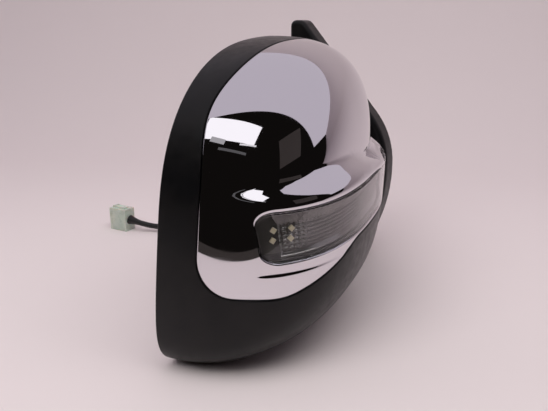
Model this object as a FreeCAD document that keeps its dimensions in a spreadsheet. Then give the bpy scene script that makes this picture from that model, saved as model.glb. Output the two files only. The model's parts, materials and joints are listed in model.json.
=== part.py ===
"""Right-hand power-folding door mirror, in millimetres.

Row frame: +X outboard from the door, +Y towards the front of the vehicle, +Z up. The origin is the
centre of the three door studs, on the face of the gasket that meets the door.

The head is designed in a frame of its own, (p, q, z): p outboard, q forward from the rear rim, z up
from near the table that the mirror can stand on. Function at() turns it into the row frame.
"""
import FreeCAD
import Part
import math
import os
from FreeCAD import Placement, Rotation, Vector

doc = FreeCAD.newDocument("door_mirror")
sheet = doc.addObject("Spreadsheet::Sheet", "dims")

DIMENSIONS = [
    # place of the head frame's zero in the row frame
    ("head_shift_x", 44.0), ("head_shift_y", -5.0), ("head_shift_z", -78.0),
    ("table_level", 3.0),
    # outline of the rear rim: four corners and the bulge of its sides
    ("rim_out_bottom_p", 242.9), ("rim_out_bottom_z", 0.0),
    ("rim_out_top_p", 213.5), ("rim_out_top_z", 202.4),
    ("rim_in_top_p", 2.3), ("rim_in_top_z", 215.6),
    ("rim_in_bottom_p", 13.7), ("rim_in_bottom_z", 13.4),
    ("bulge_side", 3.1), ("bulge_top", 8.7),
    # roundness of the dome (superellipse powers) and its depth
    ("power_top", 3.0), ("power_bottom", 6.8),
    ("power_outboard", 3.0), ("power_inboard", 2.45),
    ("power_cap_top", 3.07), ("power_cap_bottom", 2.85),
    ("dome_depth", 103.0), ("skirt", 12.0), ("depth_skew", -0.1),
    ("ledge_step", 0.14), ("ledge_low", 0.11), ("ledge_high", 0.32),
    ("top_lift", 2.9), ("belly_drop", 2.9),
    ("wall", 3.0), ("lens_wall", 2.5),
    # seam between the chrome cap and the black housing
    ("rim_band", 30.0), ("seam_low_z", 64.0), ("seam_corner", 25.0),
    # indicator window, as two sloping lines over p
    ("lens_in_p", 46.0), ("lens_out_p", 220.5),
    ("lens_top_mid_z", 127.5), ("lens_bottom_mid_z", 96.9), ("lens_mid_p", 110.0),
    ("lens_fall", 0.0875), ("lens_corner", 6.0),
    # door base
    ("gasket_thick", 2.5), ("plate_thick", 5.5), ("cover_depth", 14.0), ("cover_wall", 2.5),
    ("stud_circle", 76.0), ("stud_radius", 3.0), ("stud_root", 3.4), ("stud_length", 22.0),
    ("cable_hole", 9.0),
    ("arm_bottom", 12.0), ("arm_top", 36.0), ("arm_radius", 17.0),
    # fold pivot and fold unit
    ("pivot_p", 44.0), ("pivot_q", 34.0), ("post_radius", 9.0), ("post_bore", 5.8),
    ("post_bottom", 18.0), ("post_top", 106.0), ("running_gap", 0.06),
    ("thrust_thick", 4.7), ("thrust_radius", 14.0),
    ("case_bottom", 41.0), ("fold_case_radius", 16.5), ("fold_split", 68.0), ("fold_top", 110.0),
    ("case_wall", 2.0),
    ("sun_teeth", 26.0), ("pinion_teeth", 12.0), ("fold_module", 1.0), ("wheel_teeth", 18.0),
    ("gear_low", 45.0), ("gear_wide", 6.0), ("wheel_low", 54.0), ("wheel_radius", 9.4),
    ("worm_radius", 3.0), ("worm_core", 1.9), ("mesh_gap", 0.3), ("motor_radius", 7.5),
    ("spring_low", 64.0), ("spring_high", 104.0), ("spring_radius", 11.4), ("spring_wire", 1.1),
    # underside step over the arm
    ("step_p", 62.0), ("step_z", 38.0), ("plate_wall", 2.5),
    # mirror glass and its actuator
    ("glass_in_p", 76.0), ("panel_edge", 70.5), ("glass_inset", 9.0), ("glass_face", 7.0), ("glass_thick", 2.2),
    ("pad_thick", 0.8), ("holder_thick", 2.5),
    ("tilt_p", 149.0), ("tilt_q", 18.5), ("tilt_z", 108.0), ("jack_arm", 23.5), ("rod_radius", 3.0),
    ("ball_radius", 3.2), ("case_radius", 36.0), ("case_front", 28.0), ("case_back", 46.0),
    ("jack_teeth", 14.0), ("jack_module", 1.2), ("jack_gear_radius", 9.42), ("jack_gear_wide", 6.0),
    ("jack_gear_front", 34.0), ("tilt_motor_radius", 6.0), ("tilt_motor_long", 15.0),
    ("frame_thick", 3.5),
    # harness
    ("cable_radius", 3.0),
]
for row, (alias, value) in enumerate(DIMENSIONS, start=1):
    sheet.set("A%d" % row, alias)
    sheet.set("B%d" % row, "%g" % value)
    sheet.setAlias("B%d" % row, alias)
doc.recompute()


def dim(alias):
    """Value of one driving dimension."""
    return float(sheet.get(alias))


# the same values for the formulas that read them thousands of times
dims = {alias: dim(alias) for alias, value in DIMENSIONS}
SHIFT = Vector(dim("head_shift_x"), dim("head_shift_y"), dim("head_shift_z"))


def at(p, q, z):
    """Point of the head frame in the row frame."""
    return Vector(p, q, z) + SHIFT


# ---------------------------------------------------------------- document helpers

nodes = []


def keep(obj, label):
    """Mark a document object as a sub-part that is exported under this label."""
    obj.Label = label
    nodes.append(obj)
    return obj


def bind(obj, **expressions):
    for prop, expression in expressions.items():
        obj.setExpression(prop, expression)
    return obj


def add_cylinder(name, radius, height, base, direction=Vector(0, 0, 1)):
    """Part cylinder whose radius and height are spreadsheet expressions."""
    obj = doc.addObject("Part::Cylinder", name)
    bind(obj, Radius=radius, Height=height)
    obj.Placement = Placement(base, Rotation(Vector(0, 0, 1), direction))
    return obj


def add_box(name, length, width, height, corner):
    obj = doc.addObject("Part::Box", name)
    bind(obj, Length=length, Width=width, Height=height)
    obj.Placement = Placement(corner, Rotation())
    return obj


def add_cut(name, base, *tools):
    obj = doc.addObject("Part::Cut", name)
    obj.Base = base
    obj.Tool = tools[0] if len(tools) == 1 else add_fuse(name + "_tools", *tools)
    return obj


def add_fuse(name, *shapes):
    obj = doc.addObject("Part::MultiFuse", name)
    obj.Shapes = list(shapes)
    return obj


def add_group(name, *shapes):
    """Separate solids that share one node."""
    obj = doc.addObject("Part::Compound", name)
    obj.Links = list(shapes)
    return obj


def add_shape(name, shape, move=None):
    """Free-form piece whose shape is built by functions."""
    obj = doc.addObject("Part::Feature", name)
    obj.Shape = shape
    if move:
        obj.Placement = move
    return obj


def add_body(name):
    return doc.addObject("PartDesign::Body", name)


def plane(body, role):
    for feature in body.Origin.OriginFeatures:
        if feature.Role == role:
            return feature
    raise ValueError(role)


def sketch_on(body, role, name, edges):
    """Sketch on one of the body's own planes, from a list of Part curves."""
    sketch = body.newObject("Sketcher::SketchObject", name)
    sketch.AttachmentSupport = [(plane(body, role), "")]
    sketch.MapMode = "FlatFace"
    sketch.addGeometry(edges, False)
    return sketch


def pad(body, name, role, edges, length, offset=0.0, reverse=False):
    """Pad of closed outlines, its length bound to a spreadsheet expression."""
    sketch = sketch_on(body, role, name + "_sketch", edges)
    sketch.AttachmentOffset = Placement(Vector(0, 0, offset), Rotation())
    feature = body.newObject("PartDesign::Pad", name)
    feature.Profile = sketch
    feature.setExpression("Length", length)
    feature.Reversed = reverse
    body.Tip = feature
    return feature


def pocket(body, name, role, edges, length, offset=0.0, reverse=False):
    """Pocket that has to remove material."""
    doc.recompute()
    before = body.Shape.Volume
    sketch = sketch_on(body, role, name + "_sketch", edges)
    sketch.AttachmentOffset = Placement(Vector(0, 0, offset), Rotation())
    feature = body.newObject("PartDesign::Pocket", name)
    feature.Profile = sketch
    feature.setExpression("Length", length)
    feature.Reversed = reverse
    body.Tip = feature
    doc.recompute()
    if body.Shape.Volume > before - 1e-3:
        raise RuntimeError(name + " cuts nothing")
    return feature


# ---------------------------------------------------------------- plane outlines


def circle(u, v, radius):
    return Part.Circle(Vector(u, v, 0), Vector(0, 0, 1), radius)


def rounded(points):
    """Closed outline of lines and tangent arcs from (u, v, corner radius)."""
    count = len(points)
    corners = [Vector(u, v, 0) for u, v, radius in points]
    starts = []
    ends = []
    arcs = []
    for i, (u, v, radius) in enumerate(points):
        here = corners[i]
        back = (corners[i - 1] - here).normalize()
        ahead = (corners[(i + 1) % count] - here).normalize()
        if radius <= 0:
            starts.append(here)
            ends.append(here)
            arcs.append(None)
            continue
        half = back.getAngle(ahead) / 2
        reach = radius / math.tan(half)
        first = here + back * reach
        last = here + ahead * reach
        middle_way = (back + ahead).normalize()
        middle = here + middle_way * (radius / math.sin(half) - radius)
        starts.append(first)
        ends.append(last)
        arcs.append(Part.Arc(first, middle, last))
    edges = []
    for i in range(count):
        if arcs[i]:
            edges.append(arcs[i])
        following = starts[(i + 1) % count]
        if (following - ends[i]).Length > 1e-6:
            edges.append(Part.LineSegment(ends[i], following))
    return edges


def rectangle(u_low, v_low, u_high, v_high, radius=0.0):
    return rounded([(u_low, v_low, radius), (u_high, v_low, radius), (u_high, v_high, radius),
                    (u_low, v_high, radius)])


def face_of(edges, z=0.0):
    wire = Part.Wire(Part.__sortEdges__([edge.toShape() for edge in edges]))
    face = Part.Face(wire)
    face.translate(Vector(0, 0, z))
    return face


# turns local x, y, z into forward, up and outboard
TO_OUTBOARD = Rotation(Vector(1, 1, 1), 120)


def prism_along_q(edges, q_low, q_high):
    """Prism over an outline in the head's (p, z) plane."""
    solid = face_of(edges).extrude(Vector(0, 0, q_low - q_high))
    # local x is p, local y is z and local z points backwards
    solid.Placement = Placement(at(0, q_low, 0), Rotation(Vector(1, 0, 0), 90))
    return solid


def prism_along_p(edges, p_low, p_high):
    """Prism over an outline in the head's (q, z) plane."""
    solid = face_of(edges).extrude(Vector(0, 0, p_high - p_low))
    solid.Placement = Placement(at(p_low, 0, 0), TO_OUTBOARD)
    return solid


def prism_along_z(edges, z_low, z_high):
    """Prism over an outline in the head's (p, q) plane."""
    solid = face_of(edges).extrude(Vector(0, 0, z_high - z_low))
    solid.translate(at(0, 0, z_low))
    return solid


# ---------------------------------------------------------------- the head's surface


def ramp(t):
    t = min(max(t, 0.0), 1.0)
    return t * t * (3 - 2 * t)


def rim_place(u, v):
    """(p, z) on the rim plane: u from -1, inboard, to 1, outboard, and v from -1, bottom, to 1, top."""
    a = (1 + u) / 2
    b = (1 + v) / 2
    bottom_p = (1 - a) * dims["rim_in_bottom_p"] + a * dims["rim_out_bottom_p"]
    bottom_z = (1 - a) * dims["rim_in_bottom_z"] + a * dims["rim_out_bottom_z"]
    top_p = (1 - a) * dims["rim_in_top_p"] + a * dims["rim_out_top_p"]
    top_z = (1 - a) * dims["rim_in_top_z"] + a * dims["rim_out_top_z"]
    p = (1 - b) * bottom_p + b * top_p + dims["bulge_side"] * (1 - v * v) * u
    z = (1 - b) * bottom_z + b * top_z + dims["bulge_top"] * (1 - u * u) * b
    return p, z


def head_point(plan, v):
    """Point of the outer surface.

    plan is the angle around the head, -90 inboard, 0 front, 90 outboard; v runs from -1, bottom,
    to 1, top.
    """
    upper = v > 0
    side_power = dims["power_top"] if upper else dims["power_bottom"]
    cap_power = dims["power_cap_top"] if upper else dims["power_cap_bottom"]
    plan_power = dims["power_outboard"] if plan > 0 else dims["power_inboard"]
    width = (1 - abs(v) ** side_power) ** (1 / side_power)
    cap = (1 - abs(v) ** cap_power) ** (1 / cap_power)
    sine = math.sin(math.radians(plan))
    cosine = max(math.cos(math.radians(plan)), 0.0)
    radius = (abs(sine) ** plan_power + cosine ** plan_power) ** (-1 / plan_power)
    u = radius * sine * width
    bow = radius * cosine * cap
    low = dims["ledge_low"]
    depth = dims["dome_depth"] * (1 - dims["depth_skew"] * u)
    depth *= 1 - dims["ledge_step"] * ramp((v - low) / (dims["ledge_high"] - low))
    p, z = rim_place(u, v)
    q = -dims["skirt"] + bow * (depth + dims["skirt"])
    z += dims["top_lift"] * bow * max(v, 0.0)
    z -= dims["belly_drop"] * bow * max(-v, 0.0)
    return at(p, q, z)


def head_normal(plan, v):
    """Outward unit normal, from two short steps over the surface."""
    step_plan = 0.4
    step_v = 0.004
    along = head_point(min(plan + step_plan, 89.99), v) - head_point(max(plan - step_plan, -89.99), v)
    limit = 0.99995
    rise = head_point(plan, min(v + step_v, limit)) - head_point(plan, max(v - step_v, -limit))
    normal = rise.cross(along)
    return normal.normalize()


def offset_point(plan, v, inset):
    return head_point(plan, v) - head_normal(plan, v) * inset


def surface_patch(plans, levels, inset):
    """B-spline face through the outer surface, moved inwards by inset."""
    grid = [[offset_point(plan, v, inset) for v in levels] for plan in plans]
    surface = Part.BSplineSurface()
    surface.interpolate(grid)
    return surface.toShape()


def spread(low, high, count):
    return [low + (high - low) * i / (count - 1) for i in range(count)]


POLE = 0.9999


def round_levels(count):
    """Levels from -POLE to POLE, closer together where the dome turns over."""
    return [min(max(math.sin(math.radians(angle)), -POLE), POLE) for angle in spread(-90, 90, count)]


PLANS = spread(-90, 90, 41)
LEVELS = round_levels(35)


def solid_behind(face, box, inner):
    """The part of a box on the same side of the face as the inner point."""
    pieces, shape_map = box.generalFuse([face], 1e-4)
    for piece in pieces.Solids:
        if piece.isInside(inner, 1e-3, True):
            return piece
    raise RuntimeError("no solid holds the inner point")


def head_solid(inset, back_q):
    """Solid enclosed by the surface moved inwards, and the plane q = back_q."""
    face = surface_patch(PLANS, LEVELS, inset)
    box = Part.makeBox(300, 160, 300, at(-25, back_q, -40))
    return solid_behind(face, box, at(120, 40, 108))


outer_head = head_solid(0.0, 0.0)
inner_head = head_solid(dim("wall"), -3.0)
head_shell = outer_head.cut(inner_head)


def window_z(line, p):
    """Height of the indicator window's sloping top or bottom line at p."""
    return dim(line) - dim("lens_fall") * (p - dim("lens_mid_p"))


def window_outline(grow=0.0):
    """Indicator window in the (p, z) plane."""
    p_in = dim("lens_in_p") - grow
    p_out = dim("lens_out_p") + grow
    radius = dim("lens_corner") + grow
    return rounded([(p_in, window_z("lens_bottom_mid_z", p_in) - grow, radius),
                    (p_out, window_z("lens_bottom_mid_z", p_out) - grow, radius),
                    (p_out, window_z("lens_top_mid_z", p_out) + grow, radius),
                    (p_in, window_z("lens_top_mid_z", p_in) + grow, radius)])


FRONT_OF_DOME = 135.0
WINDOW_BACK = 30.0
window_gap = 0.4
window = prism_along_q(window_outline(window_gap), WINDOW_BACK, FRONT_OF_DOME)


def cap_region():
    """Everything ahead of the rim band and above the lower seam."""
    seam = dim("seam_low_z")
    rise_p = 150.0
    rise_z = window_z("lens_bottom_mid_z", rise_p) - 3.0
    inboard_z = window_z("lens_bottom_mid_z", 40.0) - 3.0
    front = rounded([(-20, inboard_z + 5, 0), (rise_p, rise_z, 40), (210, seam, 30), (260, seam, 0),
                     (260, 260, 0), (-20, 260, 0)])
    side = rounded([(dim("rim_band"), seam, dim("seam_corner")), (140, seam, 0), (140, 260, 0),
                    (dim("rim_band"), 260, 0)])
    return prism_along_q(front, 10, 140).common(prism_along_p(side, -20, 260))


cap_tool = cap_region()
step_tool = Part.makeBox(dim("step_p") + 30, 200, dim("step_z") + 40, at(-30, -20, -40))
# reaches into the middle of the wall, so that bosses join it
inner_plus = head_solid(dim("wall") / 2, -3.0)

FRAME_BACK = dim("case_back") + dim("frame_thick")
HOUSING_BOSSES = [(113, 50), (192, 44)]
CAP_BOSSES = [(84, 172), (168, 170)]
BOSS_RADIUS = 5.0
SCREW_CORE = 1.7


def with_bosses(shell, places):
    for p, z in places:
        rod = Part.makeCylinder(BOSS_RADIUS, 90, at(p, FRAME_BACK, z), Vector(0, 1, 0))
        shell = shell.fuse(rod.common(inner_plus))
    for p, z in places:
        shell = shell.cut(Part.makeCylinder(SCREW_CORE, 12, at(p, FRAME_BACK, z), Vector(0, 1, 0)))
    return shell.removeSplitter()


chrome = head_shell.common(cap_tool).cut(window)
keep(add_shape("chrome_cap_shape", with_bosses(chrome, CAP_BOSSES)), "chrome_cap")
PIVOT = at(dim("pivot_p"), dim("pivot_q"), 0)
case_room = Part.makeCylinder(dim("fold_case_radius") + 0.5, 56, PIVOT - Vector(0, 0, 10))
black = head_shell.cut(cap_tool).cut(window).cut(step_tool).cut(case_room)
keep(add_shape("housing_shell_shape", with_bosses(black, HOUSING_BOSSES)), "housing_shell")


def inner_slab(p_low, p_high, q_low, q_high, z_low, z_high):
    """Box of the head frame, kept inside the shell."""
    box = Part.makeBox(p_high - p_low, q_high - q_low, z_high - z_low, at(p_low, q_low, z_low))
    return box.common(inner_head)


# Underside cover: closes the step over the arm, with a hole for the pivot.
step_p = dim("step_p")
step_z = dim("step_z")
plate_wall = dim("plate_wall")
floor_plate = inner_slab(-10, step_p + plate_wall, 6, 110, step_z, step_z + plate_wall)
step_wall = inner_slab(step_p, step_p + plate_wall, 6, 110, -10, step_z)
pivot_hole = Part.makeCylinder(dim("thrust_radius") + 1.5, 10, PIVOT + Vector(0, 0, step_z - 2))
keep(add_shape("underside_shape", floor_plate.fuse(step_wall).cut(pivot_hole).removeSplitter()),
     "underside_cover")

# Rim panel: the fixed strip between the glass and the door, with a wall beside the glass.
PANEL_BACK = 3.0
PANEL_WALL_DEPTH = 18.0
panel_edge = dim("panel_edge")
panel = inner_slab(-10, panel_edge, PANEL_BACK, 6, step_z, 230)
panel_low = inner_slab(step_p, panel_edge, PANEL_BACK, 6, -10, step_z)
panel_wall = inner_slab(panel_edge - plate_wall, panel_edge, PANEL_BACK, PANEL_WALL_DEPTH, -10, 230)
keep(add_shape("panel_shape", panel.fuse(panel_low).fuse(panel_wall).removeSplitter()), "rim_panel")


# ---------------------------------------------------------------- turn indicator

LENS_PLANS = spread(-62, 82, 37)
LENS_LEVELS = spread(-0.42, 0.34, 17)


def lens_face(inset):
    """Face behind the window, moved inwards level with the ground."""
    surface = Part.BSplineSurface()
    surface.interpolate([[head_point(plan, v) - level_normal(plan) * inset for v in LENS_LEVELS]
                         for plan in LENS_PLANS])
    return surface.toShape()


def level_normal(plan):
    normal = head_normal(plan, -0.02)
    normal.z = 0
    return normal.normalize()


def window_slab(outer_inset, inner_inset, shrink):
    """Curved slab behind the indicator window, between two insets of the surface."""
    outline = prism_along_q(window_outline(-shrink), 36, FRONT_OF_DOME)
    inside = at(130, 45, window_z("lens_bottom_mid_z", 130) + 15)
    front = solid_behind(lens_face(outer_inset), outline, inside)
    return front.cut(solid_behind(lens_face(inner_inset), outline, inside))


lens_wall = dim("lens_wall")
TRAY_DEPTH = 14.3
TRAY_WALL = 1.5
keep(add_shape("lens_shape", window_slab(0.0, lens_wall, 0.0)), "indicator_lens")
tray = window_slab(lens_wall, TRAY_DEPTH, 0.3).cut(window_slab(lens_wall - 0.5, TRAY_DEPTH - TRAY_WALL,
                                                             TRAY_WALL + 0.3))
keep(add_shape("tray_shape", tray), "indicator_tray")
keep(add_shape("reflector_shape", window_slab(7.0, 8.4, 2.2)), "indicator_reflector")
board = window_slab(11.0, 12.6, 3.0).common(Part.makeBox(150, 140, 80, at(90, 0, 60)))
keep(add_shape("board_shape", board), "indicator_board")

LED_SIZE = 3.2
LED_HIGH = 1.4
leds = []
for plan in (50, 44, 24, 2):
    for v in (-0.03, 0.03):
        axis = level_normal(plan)
        seat = head_point(plan, v) - axis * 10.6
        block = Part.makeBox(LED_SIZE, LED_SIZE, LED_HIGH, Vector(-LED_SIZE / 2, -LED_SIZE / 2, 0))
        block.Placement = Placement(seat, Rotation(Vector(0, 0, 1), axis))
        leds.append(block)
keep(add_shape("leds_shape", Part.makeCompound(leds)), "indicator_leds")


# ---------------------------------------------------------------- door base

SAIL = [(-42, 3, 6), (-42, 231, 5.5), (-28.6, 231, 9), (62.5, 125.6, 76), (62.5, 68, 150), (40, 3, 14)]
ARM_PLAN = [(-24, -8, 0), (24, 11, 30), (44, 17, 12), (61, 17, 16.9), (61, 51, 16.9), (34, 51, 30),
            (-24, 46, 0)]


def shrink(points, amount):
    """Outline with each side moved inwards, corners kept tangent."""
    count = len(points)
    area = sum(points[i][0] * points[(i + 1) % count][1] - points[(i + 1) % count][0] * points[i][1]
               for i in range(count))
    turn = 1 if area > 0 else -1
    sides = []
    for i in range(count):
        x0, y0, r0 = points[i]
        x1, y1, r1 = points[(i + 1) % count]
        length = math.hypot(x1 - x0, y1 - y0)
        nx = -(y1 - y0) / length * turn
        ny = (x1 - x0) / length * turn
        sides.append((x0 + nx * amount, y0 + ny * amount, x1 - x0, y1 - y0))
    result = []
    for i in range(count):
        ax, ay, adx, ady = sides[i - 1]
        bx, by, bdx, bdy = sides[i]
        cross = adx * bdy - ady * bdx
        t = ((bx - ax) * bdy - (by - ay) * bdx) / cross
        radius = points[i][2]
        result.append((ax + adx * t, ay + ady * t, max(radius - amount, 0.0)))
    return result


def shifted(points, u_shift, v_shift):
    return [(u + u_shift, v + v_shift, radius) for u, v, radius in points]


def sail_edges(inset):
    """Door outline in the row's (Y, Z) plane."""
    return rounded(shifted(shrink(SAIL, inset) if inset else SAIL, SHIFT.y, SHIFT.z))


def arm_solid(inset):
    """Arm under the head, from the door plate to the pivot."""
    bottom = dim("arm_bottom")
    top = dim("arm_top")
    side = [(-24, 3, 0), (-6, 3, 40), (62, bottom, 0), (62, top, 0), (-24, top, 0)]
    plan = ARM_PLAN
    if inset:
        plan = shrink(plan, inset)
        side = shrink(side, inset)
        plan = [(-30, plan[0][1], 0)] + plan[1:-1] + [(-30, plan[-1][1], 0)]
        side = [(-30, side[0][1], 0)] + side[1:-1] + [(-30, side[-1][1], 0)]
    body = prism_along_z(rounded(plan), 0, 80)
    return body.common(prism_along_q(rounded(side), -20, 80))


def sail_solid(inset, x_low, x_high):
    solid = face_of(sail_edges(inset)).extrude(Vector(0, 0, x_high - x_low))
    solid.Placement = Placement(Vector(x_low, 0, 0), TO_OUTBOARD)
    return solid


gasket_thick = dim("gasket_thick")
plate_face = gasket_thick + dim("plate_thick")
cover_face = plate_face + dim("cover_depth")
cover_wall = dim("cover_wall")
stud_ring = dim("stud_circle") / 2
STUD_ANGLES = [90, 210, 330]
STUDS = [(stud_ring * math.cos(math.radians(angle)), stud_ring * math.sin(math.radians(angle)))
         for angle in STUD_ANGLES]

COVER_SCREWS = [at(0, -30, 118), at(0, 18, 128), at(0, -30, 22)]
OUTBOARD = Vector(1, 0, 0)

gasket = add_body("gasket_body")
pad(gasket, "gasket_sheet", "YZ_Plane", sail_edges(1.5), "dims.gasket_thick")
pocket(gasket, "gasket_holes", "YZ_Plane",
       [circle(0, 0, dim("cable_hole") + 1)] + [circle(y, z, 5.0) for y, z in STUDS]
       + [circle(place.y, place.z, 4.2) for place in COVER_SCREWS],
       "dims.gasket_thick", reverse=True)
keep(gasket, "door_gasket")

BRACKET = [(-38, 8, 8), (-38, 140, 10), (24, 140, 30), (50, 112, 20), (50, 66, 60), (33, 8, 12)]
bracket = add_body("bracket_body")
pad(bracket, "bracket_plate", "YZ_Plane", rounded(shifted(BRACKET, SHIFT.y, SHIFT.z)),
    "dims.plate_thick", offset=gasket_thick)
arm_core = shrink(ARM_PLAN, 4.0)
arm_core = [(-38, arm_core[0][1], 0)] + arm_core[1:-1] + [(-38, arm_core[-1][1], 0)]
pad(bracket, "bracket_arm", "XY_Plane", rounded(shifted(arm_core, SHIFT.x, SHIFT.y)),
    "dims.arm_top - 4 - 17", offset=17 + SHIFT.z)
BOSS_FOOT = 30.0
pad(bracket, "bracket_boss", "XY_Plane", [circle(PIVOT.x, PIVOT.y, dim("thrust_radius") + 0.5)],
    "dims.arm_top - %g" % BOSS_FOOT, offset=BOSS_FOOT + SHIFT.z)
pocket(bracket, "post_hole", "XY_Plane", [circle(PIVOT.x, PIVOT.y, dim("post_radius"))],
       "dims.arm_top - dims.post_bottom + 5", offset=dim("post_bottom") - 5 + SHIFT.z, reverse=True)
pocket(bracket, "plate_holes", "YZ_Plane",
       [circle(0, 0, dim("cable_hole"))] + [circle(y, z, dim("stud_root")) for y, z in STUDS]
       + [circle(place.y, place.z, 1.8) for place in COVER_SCREWS],
       "dims.plate_thick + 2", offset=gasket_thick - 1, reverse=True)
keep(bracket, "base_bracket")

cover_outer = sail_solid(0.0, gasket_thick, cover_face)
round_edges = [edge for edge in cover_outer.Edges
               if edge.BoundBox.XMin > cover_face - 0.01]
cover_outer = cover_outer.makeFillet(4.0, round_edges)
cover_outer = cover_outer.fuse(arm_solid(0.0).cut(Part.makeBox(20, 200, 300, Vector(0, -100, -150))))
cover_inner = sail_solid(cover_wall, gasket_thick - 1, cover_face - cover_wall).fuse(arm_solid(cover_wall))
boss_hole = Part.makeCylinder(dim("thrust_radius") + 1.0, 20, PIVOT + Vector(0, 0, dim("arm_top") - 10))
cover = cover_outer.cut(cover_inner).cut(boss_hole)
for place in COVER_SCREWS:
    foot = Vector(plate_face, place.y, place.z)
    cover = cover.fuse(Part.makeCylinder(4.0, dim("cover_depth") - cover_wall + 0.5, foot, OUTBOARD))
for place in COVER_SCREWS:
    cover = cover.cut(Part.makeCylinder(1.8, 9, Vector(plate_face, place.y, place.z), OUTBOARD))
keep(add_shape("cover_shape", cover.removeSplitter()), "base_cover")

screws = []
for number, place in enumerate(COVER_SCREWS):
    head = add_cylinder("cover_screw_head_%d" % number, "3.6", "2.1", Vector(0.4, place.y, place.z), OUTBOARD)
    shank = add_cylinder("cover_screw_shank_%d" % number, "1.8", "14", Vector(2.5, place.y, place.z),
                         OUTBOARD)
    screws.append(add_fuse("cover_screw_%d" % number, head, shank))
keep(add_group("cover_screw_group", *screws), "cover_screws")

studs = []
for number, (y, z) in enumerate(STUDS):
    thread = add_cylinder("stud_thread_%d" % number, "dims.stud_radius",
                          "dims.stud_length + dims.gasket_thick", Vector(-dim("stud_length"), y, z), OUTBOARD)
    root = add_cylinder("stud_root_%d" % number, "dims.stud_root", "dims.plate_thick",
                        Vector(gasket_thick, y, z), OUTBOARD)
    studs.append(add_fuse("stud_%d" % number, thread, root))
keep(add_group("studs", *studs), "door_studs")

grommet = add_body("grommet_body")
pad(grommet, "grommet_sleeve", "YZ_Plane", [circle(0, 0, dim("cable_hole"))],
    "dims.gasket_thick + dims.plate_thick + 5", offset=-2.0)
pad(grommet, "grommet_lip", "YZ_Plane", [circle(0, 0, dim("cable_hole") + 3)], "3", offset=plate_face)
snout = doc.addObject("Part::Cone", "grommet_snout")
bind(snout, Radius1="dims.cable_radius + 1.6", Radius2="dims.cable_hole - 1", Height="10")
snout.Placement = Placement(Vector(-12, 0, 0), Rotation(Vector(0, 0, 1), Vector(1, 0, 0)))
keep(add_fuse("grommet", grommet, snout), "cable_grommet")


# ---------------------------------------------------------------- fold pivot


def lift(z):
    """Point on the pivot axis at height z of the head frame."""
    return PIVOT + Vector(0, 0, z)


post = add_cut("post", add_cylinder("post_rod", "dims.post_radius", "dims.post_top - dims.post_bottom",
                                    lift(dim("post_bottom"))),
               add_cylinder("post_core", "dims.post_bore", "dims.post_top - dims.post_bottom + 2",
                            lift(dim("post_bottom") - 1)))
keep(post, "pivot_post")

thrust = add_cut("thrust", add_cylinder("thrust_disc", "dims.thrust_radius", "dims.thrust_thick",
                                        lift(dim("arm_top"))),
                 add_cylinder("thrust_core", "dims.post_radius", "dims.thrust_thick + 2",
                              lift(dim("arm_top") - 1)))
keep(thrust, "thrust_ring")

washer = add_cut("washer", add_cylinder("washer_disc", "dims.spring_radius + 2", "1.8",
                                        lift(dim("spring_high"))),
                 add_cylinder("washer_core", "dims.post_radius", "4", lift(dim("spring_high") - 1)))
keep(washer, "spring_retainer")

SPRING_TURNS = 7
wire_radius = dim("spring_wire")
spring_height = dim("spring_high") - dim("spring_low") - 2 * wire_radius
helix = Part.makeHelix(spring_height / SPRING_TURNS, spring_height, dim("spring_radius"))
profile = Part.Wire(Part.makeCircle(wire_radius, Vector(dim("spring_radius"), 0, 0), Vector(0, 1, 0)))
coil = Part.Wire(helix.Edges).makePipeShell([profile], True, True)
keep(add_shape("spring_shape", coil, Placement(lift(dim("spring_low") + wire_radius), Rotation())),
     "fold_spring")


def involute_gear(teeth, module, backlash=0.12, addendum=0.85, dedendum=1.1):
    """Closed outline of an involute spur gear, one tooth centred on the +u axis."""
    pitch = module * teeth / 2
    base = pitch * math.cos(math.radians(20))
    tip = pitch + addendum * module
    root = pitch - dedendum * module
    half_pitch = math.pi / (2 * teeth) - backlash / (2 * pitch)
    flare = math.tan(math.radians(20)) - math.radians(20)

    def half_angle(radius):
        if radius <= base:
            return half_pitch + flare
        pressure = math.acos(base / radius)
        return half_pitch + flare - (math.tan(pressure) - pressure)

    radii = [max(root, base) + (tip - max(root, base)) * step / 4 for step in range(5)]
    points = []
    for tooth in range(teeth):
        centre = 2 * math.pi * tooth / teeth
        flank = [(radius, half_angle(radius)) for radius in radii]
        if root < base:
            flank = [(root, half_pitch + flare)] + flank
        for radius, half in flank:
            points.append((radius, centre - half))
        for radius, half in reversed(flank):
            points.append((radius, centre + half))
    corners = [Vector(radius * math.cos(angle), radius * math.sin(angle), 0) for radius, angle in points]
    corners.append(corners[0])
    return Part.Wire(Part.makePolygon(corners).Edges)


def gear_solid(teeth, module, width, bore, turn=0.0):
    face = Part.Face(involute_gear(teeth, module))
    gear = face.extrude(Vector(0, 0, width))
    if bore > 0:
        gear = gear.cut(Part.makeCylinder(bore, width + 2, Vector(0, 0, -1)))
    gear.rotate(Vector(0, 0, 0), Vector(0, 0, 1), turn)
    return gear


sun_teeth = int(dim("sun_teeth"))
pinion_teeth = int(dim("pinion_teeth"))
fold_module = dim("fold_module")
gear_wide = dim("gear_wide")
SHAFT = at(dim("pivot_p") + fold_module * (sun_teeth + pinion_teeth) / 2, dim("pivot_q"), 0)
keep(add_shape("sun_shape", gear_solid(sun_teeth, fold_module, gear_wide, dim("post_radius")),
               Placement(lift(dim("gear_low")), Rotation())), "sun_gear")

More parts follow.
